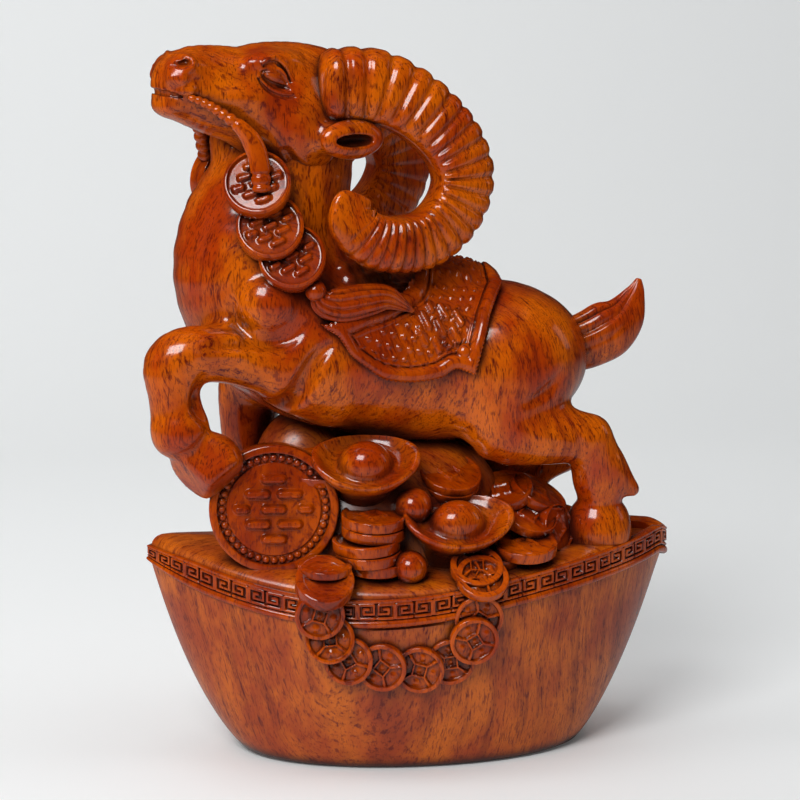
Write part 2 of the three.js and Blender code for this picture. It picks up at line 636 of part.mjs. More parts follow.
const rosewood = new THREE.MeshStandardMaterial({ color: 0xa8400f, roughness: 0.22, metalness: 0 });
const ram = new THREE.Mesh(meshOf(cut), rosewood);
ram.name = 'carved_ram';

const group = new THREE.Group();
group.add(ram);
export default group;
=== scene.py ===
# A carved rosewood ram that steps over a pile of coins and small ingots, on a boat-shaped ingot base.
# The whole work is cut from one block, so its pieces all ride on one body and share one kind of wood.
# Shapes are worked out in millimetres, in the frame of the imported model, and become metres in the mesh.
import bpy
import numpy as np
import openvdb
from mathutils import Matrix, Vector


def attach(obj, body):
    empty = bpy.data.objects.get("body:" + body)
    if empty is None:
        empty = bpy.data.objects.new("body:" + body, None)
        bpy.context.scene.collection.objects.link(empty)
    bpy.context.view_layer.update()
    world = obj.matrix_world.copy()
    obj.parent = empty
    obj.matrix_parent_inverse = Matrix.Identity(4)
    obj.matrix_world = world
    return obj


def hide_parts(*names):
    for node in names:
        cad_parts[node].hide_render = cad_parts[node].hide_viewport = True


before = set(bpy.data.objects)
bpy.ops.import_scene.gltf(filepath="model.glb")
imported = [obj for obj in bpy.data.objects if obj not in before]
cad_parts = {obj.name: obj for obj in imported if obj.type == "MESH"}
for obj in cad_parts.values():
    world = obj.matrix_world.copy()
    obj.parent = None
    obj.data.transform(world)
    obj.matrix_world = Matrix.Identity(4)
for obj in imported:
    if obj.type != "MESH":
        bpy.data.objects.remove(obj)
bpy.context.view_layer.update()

# Camera
# The photograph looks a little down on the ram's left side, from just left of square on.
# The distance and the scale at the target give the lens, for a picture 800 pixels wide.
AZIMUTH, ELEVATION = np.radians(-9), np.radians(11)
TARGET = Vector((-0.00285, 0, 0.097))
DISTANCE = 0.9
PICTURE_PIXELS = 800
METRES_PER_PIXEL = 0.0002759
back = Vector((
    np.sin(AZIMUTH) * np.cos(ELEVATION),
    -np.cos(AZIMUTH) * np.cos(ELEVATION),
    np.sin(ELEVATION),
))
lens_data = bpy.data.cameras.new("camera")
lens_data.sensor_width = 36
lens_data.lens = lens_data.sensor_width * DISTANCE / (PICTURE_PIXELS * METRES_PER_PIXEL)
camera = bpy.data.objects.new("camera", lens_data)
camera.location = TARGET + DISTANCE * back
camera.rotation_euler = back.to_track_quat("Z", "Y").to_euler()
bpy.context.scene.collection.objects.link(camera)
bpy.context.scene.camera = camera
bpy.context.scene.view_settings.view_transform = "Standard"


# Studio
# A pale floor that curves up into a pale wall behind, a soft window of light from the upper left,
# and weaker ones round it. The lacquer mirrors the near floor, and dark flags further off. The wall
# is clear from behind, so the back can be looked at too.
def solid_object(name, points, quads, triangles=(), sharp=38):
    """A mesh object from points in mm and whole arrays of corners, smooth but for edges over sharp."""
    mesh = bpy.data.meshes.new(name)
    quads, triangles = np.asarray(quads).reshape(-1, 4), np.asarray(triangles, int).reshape(-1, 3)
    corners = np.concatenate([quads.ravel(), triangles.ravel()]).astype(np.int32)
    sizes = np.concatenate([np.full(len(quads), 4), np.full(len(triangles), 3)])
    mesh.vertices.add(len(points))
    mesh.vertices.foreach_set("co", (np.asarray(points) * 0.001).astype(np.float32).ravel())
    mesh.loops.add(len(corners))
    mesh.loops.foreach_set("vertex_index", corners)
    mesh.polygons.add(len(sizes))
    mesh.polygons.foreach_set("loop_start", (np.cumsum(sizes) - sizes).astype(np.int32))
    mesh.update(calc_edges=True)
    mesh.validate()
    mesh.shade_smooth()
    mesh.set_sharp_from_angle(angle=np.radians(sharp))
    piece = bpy.data.objects.new(name, mesh)
    bpy.context.scene.collection.objects.link(piece)
    return piece


def sweep_floor(width, front, wall, bend, height):
    """Rows of points across the floor: level, then a quarter circle of radius bend, then straight up."""
    turn = np.linspace(0, np.pi / 2, 16)
    along = np.concatenate([[front], wall - bend + bend * np.sin(turn), [wall]])
    up = np.concatenate([[0], bend - bend * np.cos(turn), [height]])
    across = np.linspace(-width / 2, width / 2, 2)
    rows = np.stack(np.broadcast_arrays(across[None, :], along[:, None], up[:, None]), -1)
    row = 2 * np.arange(len(along) - 1)[:, None]
    return rows.reshape(-1, 3), row + np.array([0, 1, 3, 2])


def put(tree, kind, settings=(), **values):
    """A node with its settings, its inputs set to a value or linked to another node's output."""
    node = tree.nodes.new(kind)
    for key, value in dict(settings).items():
        setattr(node, key, value)
    for key, value in values.items():
        socket = node.inputs[int(key[1:])] if key[0] == "i" and key[1:].isdigit() else node.inputs[key]
        if isinstance(value, bpy.types.NodeSocket):
            tree.links.new(value, socket)
        else:
            socket.default_value = value
    return node


def maths(tree, operation, *values):
    """The output of a Math node."""
    node = put(tree, "ShaderNodeMath", {"operation": operation}, **{f"i{k}": v for k, v in enumerate(values)})
    return node.outputs[0]


def ramp(tree, value, low, high, to_low=0.0, to_high=1.0):
    """A value carried from low..high to to_low..to_high with a soft start and end."""
    settings = {"interpolation_type": "SMOOTHSTEP"}
    node = put(tree, "ShaderNodeMapRange", settings, Value=value)
    for key, number in (("From Min", low), ("From Max", high), ("To Min", to_low), ("To Max", to_high)):
        node.inputs[key].default_value = number
    return node.outputs[0]


FLOOR_WIDTH, FLOOR_FRONT = 6000, -2500
WALL_PLACE, WALL_BEND, WALL_HEIGHT = 900, 500, 2600
FLOOR_PAINT, FLAG_PAINT = (0.86, 0.875, 0.878, 1), (0.012, 0.012, 0.012, 1)
floor_shape = sweep_floor(FLOOR_WIDTH, FLOOR_FRONT, WALL_PLACE, WALL_BEND, WALL_HEIGHT)
floor = solid_object("floor", *floor_shape, sharp=180)
floor_paint = bpy.data.materials.new("pale_floor")
floor_paint.use_nodes = True
paint = floor_paint.node_tree
floor_shader = paint.nodes["Principled BSDF"]
floor_shader.inputs["Base Color"].default_value = FLOOR_PAINT
floor_shader.inputs["Roughness"].default_value = 0.6
floor_shader.inputs["Emission Color"].default_value = (1, 1, 1, 1)
floor_shader.inputs["Emission Strength"].default_value = 0.05
floor_place = put(paint, "ShaderNodeTexCoord").outputs["Object"]
floor_reach = put(paint, "ShaderNodeVectorMath", {"operation": "LENGTH"}, i0=floor_place).outputs["Value"]
far_off = ramp(paint, floor_reach, 0.05, 0.9, 0.5, 1.0)
glossy = put(paint, "ShaderNodeLightPath").outputs["Is Glossy Ray"]
flag = put(paint, "ShaderNodeBsdfDiffuse", Color=FLAG_PAINT)
near_flag = put(paint, "ShaderNodeMixShader", i0=maths(paint, "MULTIPLY", glossy, far_off),
                i1=floor_shader.outputs[0], i2=flag.outputs[0])
behind = put(paint, "ShaderNodeNewGeometry").outputs["Backfacing"]
clear = put(paint, "ShaderNodeBsdfTransparent")
backdrop = put(paint, "ShaderNodeMixShader", i0=behind, i1=near_flag.outputs[0], i2=clear.outputs[0])
paint.links.new(backdrop.outputs[0], paint.nodes["Material Output"].inputs["Surface"])
floor.data.materials.append(floor_paint)

# A window is its name, its place and what it faces in metres, its width and height, its watts, and
# whether the lacquer mirrors it.
WINDOWS = [
    ("key", (-0.62, -0.98, 1.02), (0, 0, 0.1), 0.68, 0.6, 15.5, True),
    ("left", (-1.3, -0.2, 0.5), (0, 0, 0.1), 0.4, 0.6, 2.2, False),
    ("right", (1.3, -0.1, 0.6), (0, 0, 0.1), 0.3, 0.7, 0.4, True),
    ("wall", (-0.2, 0.0, 0.85), (0, 0.9, -0.2), 1.2, 0.4, 4.3, False),
]
for name, place, aim, width, height, watts, mirrored in WINDOWS:
    light_data = bpy.data.lights.new(name, "AREA")
    light_data.shape = "RECTANGLE"
    light_data.size, light_data.size_y = width, height
    light_data.energy = watts
    light = bpy.data.objects.new(name, light_data)
    light.visible_glossy = mirrored
    light.location = place
    light.rotation_euler = (Vector(place) - Vector(aim)).to_track_quat("Z", "Y").to_euler()
    bpy.context.scene.collection.objects.link(light)
SKY_FILL, SKY_MIRRORED, SKY_SEEN = 0.05, 0.02, 0.78
world = bpy.data.worlds.new("surroundings")
world.use_nodes = True
sky = world.node_tree
sky_path = put(sky, "ShaderNodeLightPath")
unseen = maths(sky, "MULTIPLY_ADD", sky_path.outputs["Is Glossy Ray"], SKY_MIRRORED - SKY_FILL, SKY_FILL)
strength = maths(sky, "MULTIPLY_ADD", sky_path.outputs["Is Camera Ray"], SKY_SEEN - SKY_FILL, unseen)
sky.links.new(strength, sky.nodes["Background"].inputs["Strength"])
sky.nodes["Background"].inputs["Color"].default_value = (0.97, 0.98, 1, 1)
bpy.context.scene.world = world


# Rosewood
# One block of red-orange rosewood under clear lacquer. Its growth rings run round a leaning axis in
# front of the block, its pores are short dark dashes along the grain, and its recesses are darkened
# with stain and painted shade.
RING_LEAN = 0.12
DASHES, BANDS = (2300.0, 30.0, 300.0), (420.0, 5.0, 30.0)
PORES, TONES = (1.0, 1.0, 0.14), (1.0, 1.0, 0.6)
# The first colour is the near-black of stain and painted shade in the recesses.
RECESS_STAIN_AND_SHADE, PORE_SHADE = (0.022, 0.004, 0.003, 1), (0.45, 0.4, 0.5)
WOOD_ROUGH, GRAIN_ROUGH, PORE_DEPTH = 0.16, 0.14, 0.0002


def node_group(name, inputs, outputs):
    """An empty shader node group with the named sockets, and its nodes for what goes in and comes out."""
    group = bpy.data.node_groups.new(name, "ShaderNodeTree")
    for socket, kind, value in inputs:
        made = group.interface.new_socket(socket, in_out="INPUT", socket_type=kind)
        made.default_value = value
    for socket, kind in outputs:
        group.interface.new_socket(socket, in_out="OUTPUT", socket_type=kind)
    return group, group.nodes.new("NodeGroupInput"), group.nodes.new("NodeGroupOutput")


def noise(tree, vector, scale, detail, rough):
    """The value of a Noise Texture on a vector."""
    node = put(tree, "ShaderNodeTexNoise", Vector=vector, Scale=scale, Detail=detail, Roughness=rough)
    return node.outputs[0]


def stretched(tree, vector, factors):
    """A vector with its parts multiplied."""
    node = put(tree, "ShaderNodeVectorMath", {"operation": "MULTIPLY"}, i0=vector, i1=factors)
    return node.outputs[0]


def mixed(tree, factor, one, other):
    """The colour of a Mix node, between two colours that are numbers or other nodes' outputs."""
    return put(tree, "ShaderNodeMix", {"data_type": "RGBA"}, i0=factor, i6=one, i7=other).outputs[2]


def rosewood_group():
    """Grain, pores and tone of the block from a place in it, in metres.
    The place is bent by slow noise. Its distance from the ring axis gives the rings; noise on that
    distance and on the height gives dashes that follow them, and noise drawn out upwards the pores."""
    sockets = [
        ("Place", "NodeSocketVector", (0, 0, 0)), ("Axis X", "NodeSocketFloat", -0.028),
        ("Axis Y", "NodeSocketFloat", -0.085), ("Bend", "NodeSocketFloat", 0.012),
    ]
    outputs = [("Grain", "NodeSocketFloat"), ("Pores", "NodeSocketFloat"), ("Tone", "NodeSocketFloat")]
    group, start, end = node_group("rosewood_grain", sockets, outputs)
    place = start.outputs["Place"]
    slow = put(group, "ShaderNodeTexNoise", Vector=place, Scale=22.0, Detail=2.0)
    centred = put(group, "ShaderNodeVectorMath", {"operation": "SUBTRACT"}, i0=slow.outputs["Color"],
                  i1=(0.5, 0.5, 0.5))
    scaled = put(group, "ShaderNodeVectorMath", {"operation": "SCALE"}, i0=centred.outputs[0],
                 Scale=start.outputs["Bend"])
    bent = put(group, "ShaderNodeVectorMath", {"operation": "ADD"}, i0=place, i1=scaled.outputs[0])
    split = put(group, "ShaderNodeSeparateXYZ", i0=bent.outputs[0])
    across = maths(group, "SUBTRACT", split.outputs[0], start.outputs["Axis X"])
    deep = maths(group, "SUBTRACT", split.outputs[1], start.outputs["Axis Y"])
    height = split.outputs[2]
    lean = maths(group, "MULTIPLY_ADD", height, RING_LEAN, across)
    radius = maths(group, "SQRT", maths(group, "ADD", maths(group, "MULTIPLY", lean, lean),
                                        maths(group, "MULTIPLY", deep, deep)))
    angle = maths(group, "ARCTAN2", lean, deep)

    def round_axis(scale):
        """The distance from the ring axis, the angle round it and the height, scaled, as a vector."""
        parts = [maths(group, "MULTIPLY", part, by) for part, by in zip((radius, angle, height), scale)]
        return put(group, "ShaderNodeCombineXYZ", i0=parts[0], i1=parts[1], i2=parts[2]).outputs[0]

    dashes = noise(group, round_axis(DASHES), 1.0, 3.0, 0.65)
    bands = noise(group, round_axis(BANDS), 1.0, 3.0, 0.55)
    grain = maths(group, "ADD", ramp(group, dashes, 0.5, 0.66, to_high=0.7),
                  ramp(group, bands, 0.47, 0.72, to_high=0.5))
    group.links.new(maths(group, "MINIMUM", grain, 1.0), end.inputs["Grain"])
    fine = noise(group, stretched(group, place, PORES), 2600.0, 2.0, 0.5)
    group.links.new(ramp(group, fine, 0.56, 0.68), end.inputs["Pores"])
    tone = noise(group, stretched(group, place, TONES), 60.0, 4.0, 0.62)
    group.links.new(ramp(group, tone, 0.36, 0.64), end.inputs["Tone"])
    return group


ROSEWOOD = rosewood_group()


def rosewood(name, light, middle, dark, gloss, stain_and_shade_reach, stain_and_shade, pores):
    """Lacquered rosewood: the block's colour from its grain, darkened by stain and painted shade in recesses.
    """
    material = bpy.data.materials.new(name)
    material.use_nodes = True
    tree = material.node_tree
    shader = tree.nodes["Principled BSDF"]
    place = put(tree, "ShaderNodeTexCoord").outputs["Object"]
    grain = put(tree, "ShaderNodeGroup", {"node_tree": ROSEWOOD}, Place=place)
    warm = mixed(tree, grain.outputs["Tone"], (*middle, 1), (*light, 1))
    streaked = mixed(tree, grain.outputs["Grain"], warm, (*dark, 1))
    pore_colour = (*(part * shade for part, shade in zip(dark, PORE_SHADE)), 1)
    pored = mixed(tree, maths(tree, "MULTIPLY", grain.outputs["Pores"], pores), streaked, pore_colour)
    # Painted shade: the near-black recess colour is mixed into the base colour by ambient occlusion, so
    # creases and recesses are darkened partly as real stain and partly as painted shade.
    open_air = put(tree, "ShaderNodeAmbientOcclusion", {"samples": 8}, Distance=stain_and_shade_reach)
    stain_and_shade_mask = ramp(tree, open_air.outputs["AO"], 0.35, 0.9, to_low=stain_and_shade, to_high=0.0)
    tree.links.new(mixed(tree, stain_and_shade_mask, pored, RECESS_STAIN_AND_SHADE), shader.inputs["Base Color"])
    rough = maths(tree, "MULTIPLY_ADD", grain.outputs["Grain"], GRAIN_ROUGH, gloss + WOOD_ROUGH)
    tree.links.new(rough, shader.inputs["Roughness"])
    dents = put(tree, "ShaderNodeBump", Height=grain.outputs["Pores"], Strength=0.12, Distance=PORE_DEPTH)
    dents.invert = True
    tree.links.new(dents.outputs[0], shader.inputs["Normal"])
    shader.inputs["IOR"].default_value = 1.5
    shader.inputs["Specular IOR Level"].default_value = 0.05
    shader.inputs["Coat Weight"].default_value = 1.0
    shader.inputs["Coat Roughness"].default_value = gloss
    return material


# Each wood below sets how far and how darkly its recesses are darkened with stain and painted shade.
figure_wood = rosewood(
    "rosewood_figure", light=(0.62, 0.112, 0.0), middle=(0.38, 0.034, 0.0), dark=(0.13, 0.008, 0.001),
    gloss=0.13, stain_and_shade_reach=0.008, stain_and_shade=0.92, pores=0.7,
)
hull_wood = rosewood(
    "rosewood_hull", light=(0.58, 0.118, 0.002), middle=(0.36, 0.046, 0.003), dark=(0.13, 0.010, 0.002),
    gloss=0.26, stain_and_shade_reach=0.005, stain_and_shade=0.85, pores=0.4,
)
carved_wood = rosewood(
    "rosewood_carved", light=(0.54, 0.080, 0.0), middle=(0.32, 0.028, 0.0), dark=(0.13, 0.008, 0.001),
    gloss=0.08, stain_and_shade_reach=0.0035, stain_and_shade=0.95, pores=0.3,
)


def finish_piece(piece, material):
    """Gives a piece its wood, sets it on the root body, and hides the imported carved block that it stands in
    for.
    """
    piece.data.materials.append(material)
    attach(piece, "root")
    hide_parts("carved_ram")


# Ingot base
# The lower part of the block: a boat-shaped gold ingot, with a flat oval foot, a swelling hull that
# runs out to two points, and a deck that swells above the rim. It is turned by eye and sanded smooth.
BASE_LENGTH, BASE_WIDTH = 147, 78
RIM_HEIGHT, TIP_RISE = 50.8, 9.6
FOOT_LENGTH, FOOT_WIDTH, FOOT_EDGE, FOOT_ROUND = 92, 56, 1.2, 0.35
HULL_CURVE, HULL_BULGE = 0.73, 0.03
RIM_POINT, FOOT_POINT = 1.6, 0.9
BAND_DEPTH, BAND_PROUD, DECK_INSET = 5.2, 1.1, 1.4
RIM_LEAN, BOW_DROP, BOW_ROUND = 2.5, 2.2, 69
DECK_CROWN, DECK_FULLNESS, DECK_FILL = 5.4, 0.41, 2.4
BOW_DIP, BOW_START = 3.6, 58
NOSE_DROP, NOSE_START, NOSE_SQUEEZE = 2.0, 58, 0.45
DENT_DEPTH, DENT_PLACE, DENT_REACH, DENT_FROM = 1.6, -7, 11, 0.93
BASE_SIDES, HULL_ROWS = 288, 42


def rim_height(x):
    """Height of the rim: it rises to the two tips with the square of the place along it, is a little
    lower left of the middle than right of it by a sine, and rounds off at the right tip."""
    share = x / (BASE_LENGTH / 2)
    rounding = BOW_DROP * np.clip((x - BOW_ROUND) / (BASE_LENGTH / 2 - BOW_ROUND), 0, 1) ** 2
    return RIM_HEIGHT + TIP_RISE * share ** 2 + RIM_LEAN * np.sin(np.pi * share) - rounding


def outline(angle, half_length, half_width, point):
    """An ellipse whose width follows a power of the sine: 1 is an ellipse, more is pointed."""
    side = np.sin(angle)
    return half_length * np.cos(angle), np.sign(side) * half_width * np.abs(side) ** point


def hull_shape(share):
    """Half length, half width and point of the hull at a share of the height up to the band."""
    swell = share ** HULL_CURVE + HULL_BULGE * np.sin(np.pi * share)
    half_length = FOOT_LENGTH / 2 + swell * (BASE_LENGTH / 2 - BAND_PROUD - FOOT_LENGTH / 2)
    half_width = FOOT_WIDTH / 2 + swell * (BASE_WIDTH / 2 - BAND_PROUD - FOOT_WIDTH / 2)
    return half_length, half_width, FOOT_POINT + (RIM_POINT - FOOT_POINT) * share


def outward(points, quads, triangles):
    """A shell with its faces turned to point out, by the sign of the volume that it holds."""
    fans = np.vstack([quads[:, [0, 1, 2]], quads[:, [0, 2, 3]], triangles])
    a, b, c = (points[fans[:, k]] for k in range(3))
    if np.einsum("ij,ij->i", a, np.cross(b, c)).sum() < 0:
        quads, triangles = quads[:, ::-1], triangles[:, ::-1]
    return points, quads, triangles


def skin(rings, first, last):
    """A closed shell over rings of points, shaped (ring, side, 3), fanned to a pole at either end."""
    count, sides = rings.shape[:2]
    points = np.vstack([rings.reshape(-1, 3), np.reshape(first, (1, 3)), np.reshape(last, (1, 3))])
    ring = np.arange(count - 1)[:, None] * sides
    side = np.arange(sides)
    after = (side + 1) % sides
    quads = np.stack([ring + side, ring + after, ring + sides + after, ring + sides + side], -1)
    top = (count - 1) * sides
    pole = np.full(sides, count * sides)
    first_fan = np.stack([pole, after, side], -1)
    last_fan = np.stack([pole + 1, top + side, top + after], -1)
    return outward(points, quads.reshape(-1, 4), np.vstack([first_fan, last_fan]))


def nose_share(x):
    """How much of the left tip's rounding there is at a place along the base, from 0 to 1."""
    return np.clip((-x - NOSE_START) / (BASE_LENGTH / 2 - NOSE_START), 0, 1) ** 2


def deck_height(x, inward):
    """Height of the deck at a share of the way in from the rim: it swells fast, then lies almost flat,
    and makes up for the rim's lean, so its middle is level and its left is the fuller side.
    Behind the right tip it dips to a shallow floor inside the rim's lip, and the left tip is rounded."""
    crown = DECK_CROWN - RIM_LEAN * np.sin(np.pi * x / (BASE_LENGTH / 2)) + DECK_FILL * np.clip(-x / 20, 0, 1)
    swell = crown * np.sin(np.clip(inward, 0, 1) * np.pi / 2) ** DECK_FULLNESS
    dip = np.clip((x - BOW_START) / 5, 0, 1)
    nose = nose_share(x) * NOSE_DROP * (1 - np.clip(inward / 0.05, 0, 1)) ** 2
    return rim_height(x) + swell * (1 - dip) - BOW_DIP * dip * np.clip(inward / 0.08, 0, 1) - nose


def base_rings():
    """Rings from the underside's edge up the hull, over the rim and in over the deck. The near wall has
    a shallow dent right under the band, between the swag's ends."""
    angle = np.linspace(0, 2 * np.pi, BASE_SIDES, endpoint=False)
    rings = []
    for inset, level in ((6, 0), (FOOT_EDGE, 0), (FOOT_ROUND, FOOT_ROUND)):
        x, y = outline(angle, FOOT_LENGTH / 2 - inset, FOOT_WIDTH / 2 - inset, FOOT_POINT)
        rings.append(np.stack([x, y, np.full_like(x, level)], -1))
    for share in np.linspace(0.02, 1, HULL_ROWS):
        x, y = outline(angle, *hull_shape(share))
        dent = np.clip((share - DENT_FROM) / 0.03, 0, 1) * np.exp(-((x - DENT_PLACE) / DENT_REACH) ** 6)
        y = y + DENT_DEPTH * dent * (y < 0)
        rings.append(np.stack([x, y, share * (rim_height(x) - BAND_DEPTH)], -1))
    length, width = BASE_LENGTH / 2 - DECK_INSET, BASE_WIDTH / 2 - DECK_INSET
    for inward in np.concatenate([[0], 0.004 * 1.55 ** np.arange(12), [0.62, 0.85]]):
        x, y = outline(angle, length * (1 - inward), width * (1 - inward), RIM_POINT)
        rings.append(np.stack([x, y, deck_height(x, inward)], -1))
    return np.array(rings)


base = solid_object("ingot_base", *skin(base_rings(), (0, 0, 0), (0, 0, RIM_HEIGHT + DECK_CROWN)))
finish_piece(base, hull_wood)


# Fret band
# A band round the rim with a key fret cut in it: square spirals that turn one way and the other, a thin
# line above them and a rounded ledge below, all crisp, with stain and painted shade darkening the cuts.
RIM_STEPS, FRET_SECTIONS, LEDGE_ROWS, FACE_ROWS = 20001, 1450, 9, 23
FRET_CELLS, FRET_HEIGHT, FRET_MARGIN = 68, 4.3, 0.2
FRET_STROKE, FRET_DEPTH, FRET_SOFT = 0.28, 0.75, 0.26
TOP_LINE, LEDGE_HEIGHT, LEDGE_PROUD, FACE_BACK = 0.6, 2.3, 0.9, 0.25
BAND_INNER, BAND_INNER_LEVEL = [-0.5, -2.6, -4.0, -4.0], [0.25, 0.3, -0.6]
NOWHERE = 1000.0
SPIRAL = [
    (0.08, 0.06), (0.94, 0.06), (0.94, 0.94), (0.12, 0.94), (0.12, 0.36), (0.66, 0.36), (0.66, 0.66),
    (0.4, 0.66),
]


def smooth(value, low, high):
    """0 below low, 1 above high, and a soft step between."""
    share = np.clip((value - low) / (high - low), 0, 1)
    return share * share * (3 - 2 * share)


def line_distance(x, y, corners):
    """Distance of points in a plane from a line of straight strokes."""
    best = np.full(np.broadcast(x, y).shape, NOWHERE)
    for (x0, y0), (x1, y1) in zip(corners[:-1], corners[1:]):
        length = (x1 - x0) ** 2 + (y1 - y0) ** 2
        share = np.clip(((x - x0) * (x1 - x0) + (y - y0) * (y1 - y0)) / length, 0, 1)
        best = np.minimum(best, np.hypot(x - x0 - share * (x1 - x0), y - y0 - share * (y1 - y0)))
    return best


def fret(along, up, cell):
    """Height of the carving: 1 on the strokes of a spiral in each cell, mirrored in every other cell."""
    number = np.floor(along / cell)
    x = along - cell * number
    x = np.where(number % 2 == 0, x, cell - x)
    corners = [(cell * a, FRET_HEIGHT * b) for a, b in SPIRAL]
    return 1 - smooth(line_distance(x, up, corners), FRET_STROKE, FRET_STROKE + FRET_SOFT)


def band_rings():
    """Sections round the rim: each runs up the carved face, in over the top, and down inside the hull."""
    angle = np.linspace(0, 2 * np.pi, RIM_STEPS)
    x, y = outline(angle, BASE_LENGTH / 2, BASE_WIDTH / 2, RIM_POINT)
    length = np.concatenate([[0], np.cumsum(np.hypot(np.diff(x), np.diff(y)))])
    along = np.linspace(0, length[-1], FRET_SECTIONS, endpoint=False)
    x, y = np.interp(along, length, x), np.interp(along, length, y)
    tangent = np.stack([np.roll(x, -4) - np.roll(x, 4), np.roll(y, -4) - np.roll(y, 4)], -1)
    tangent /= np.linalg.norm(tangent, axis=1, keepdims=True)
    out_x, out_y = tangent[:, 1], -tangent[:, 0]
    cell = length[-1] / FRET_CELLS
    top_edge = LEDGE_HEIGHT + 2 * FRET_MARGIN + FRET_HEIGHT + TOP_LINE
    up = np.concatenate([
        np.linspace(0, LEDGE_HEIGHT, LEDGE_ROWS), np.linspace(LEDGE_HEIGHT + 0.1, top_edge, FACE_ROWS),
    ])
    ledge = LEDGE_PROUD * np.sqrt(np.clip(1 - (2 * up / LEDGE_HEIGHT - 1) ** 2, 0, 1)) - LEDGE_PROUD
    field = (up > LEDGE_HEIGHT) & (up < up[-1] - TOP_LINE)
    relief = np.where(field, fret(along[:, None], up[None, :] - LEDGE_HEIGHT - FRET_MARGIN, cell), 0)
    carved = np.where(field, FRET_DEPTH * (relief - 1), 0.05) - FACE_BACK
    face = np.where(up <= LEDGE_HEIGHT, ledge, carved)
    height = up - up[-1]
    reach = np.concatenate([face, np.broadcast_to(BAND_INNER, (len(along), len(BAND_INNER)))], 1)
    level = np.concatenate([height, BAND_INNER_LEVEL, [height[0] + 0.4]])
    squeeze = 1 - NOSE_SQUEEZE * nose_share(x)[:, None]
    top = (rim_height(x) - NOSE_DROP * nose_share(x))[:, None]
    return np.stack([x[:, None] + reach * out_x[:, None], y[:, None] + reach * out_y[:, None],
                     top + squeeze * level[None, :]], -1)


def hoop(rings):
    """A closed shell of sections, shaped (section, side, 3), that run round and meet again."""
    count, sides = rings.shape[:2]
    section, side = np.arange(count)[:, None], np.arange(sides)
    beside = (side + 1) % sides
    here, there = section * sides, (section + 1) % count * sides
    quads = np.stack([here + side, here + beside, there + beside, there + side], -1)
    return outward(rings.reshape(-1, 3), quads.reshape(-1, 4), np.zeros((0, 3), int))


finish_piece(solid_object("fret_band", *hoop(band_rings())), carved_wood)


# Swag of coins
# Old-style coins hang over the front rim like beads on a cord, each lapping over the next, from two
# that lie on the deck's edge. Each has a rim, a diamond for its hole, four spokes and sunk quarters.
# A hanging coin is its place along the base and its height, how far it stands off the hull, and its tilt.
SWAG_COIN_RADIUS, SWAG_COIN_THICK, SWAG_FINENESS = 6.7, 2.6, (32, 88)
SWAG = [
    (-30.5, 46.8, 5.2, 0.1), (-27.5, 39.5, 2.6, 0.3), (-22.4, 33.2, 1.3, 0.3), (-13.4, 31.2, 0.7, 0.3),
    (-3.2, 30.2, 0.2, 0.24), (5.2, 32, -0.4, 0.05), (11.2, 38.2, 2.2, 0.0), (12.6, 44.2, 0.3, 0.0),
]


def turned(points, centre, facing, spin):
    """Points made round the Z axis, spun by an angle, with Z turned to a facing, moved to a centre."""
    normal = np.array(facing, float) / np.linalg.norm(facing)
    upright = np.array([0, 0, 1.0]) if abs(normal[2]) < 0.95 else np.array([0, 1.0, 0])
    across = np.cross(upright, normal)
    across /= np.linalg.norm(across)
    over = np.cross(normal, across)
    x = np.cos(spin) * points[:, 0] - np.sin(spin) * points[:, 1]
    y = np.sin(spin) * points[:, 0] + np.cos(spin) * points[:, 1]
    return np.asarray(centre) + x[:, None] * across + y[:, None] * over + points[:, 2:] * normal


def disc(radius, thick, relief, rows, columns, edge):
    """A round coin with soft edges, whose face has a relief: a function of x and y that gives a height."""
    angle = np.linspace(0, 2 * np.pi, columns, endpoint=False)
    bend = np.linspace(0, np.pi / 2, 4)
    low = np.stack([radius - edge + edge * np.sin(bend), -thick / 2 + edge - edge * np.cos(bend)], -1)
    high = np.stack([radius - edge + edge * np.cos(bend), thick / 2 - edge + edge * np.sin(bend)], -1)
    inner = (radius - edge) * (1 - np.linspace(0, 1, rows + 2)[1:-1])
    face = np.stack([inner, np.full(rows, thick / 2)], -1)
    profile = np.vstack([[(radius * 0.5, -thick / 2)], low, high, face])
    x, y = profile[:, :1] * np.cos(angle), profile[:, :1] * np.sin(angle)
    z = np.broadcast_to(profile[:, 1:], x.shape).copy()
    z[-rows:] += relief(x[-rows:], y[-rows:])
    middle = thick / 2 + float(relief(np.zeros(1), np.zeros(1))[0])
    return skin(np.stack([x, y, z], -1), (0, 0, -thick / 2), (0, 0, middle))


def laid_coin(centre, facing, spin, size, relief, fineness, edge=0.35):
    """A coin's shell in its place, from its radius and thickness and the rows and columns of its face."""
    points, quads, triangles = disc(*size, relief, *fineness, edge)
    return turned(points, centre, facing, spin), quads, triangles


def merged(shells):
    """Several closed shells as one mesh."""
    start, points, quads, triangles = 0, [], [], []
    for shell_points, shell_quads, shell_triangles in shells:
        points.append(shell_points)
        quads.append(shell_quads + start)
        triangles.append(shell_triangles + start)
        start += len(shell_points)
    return np.vstack(points), np.vstack(quads), np.vstack(triangles)


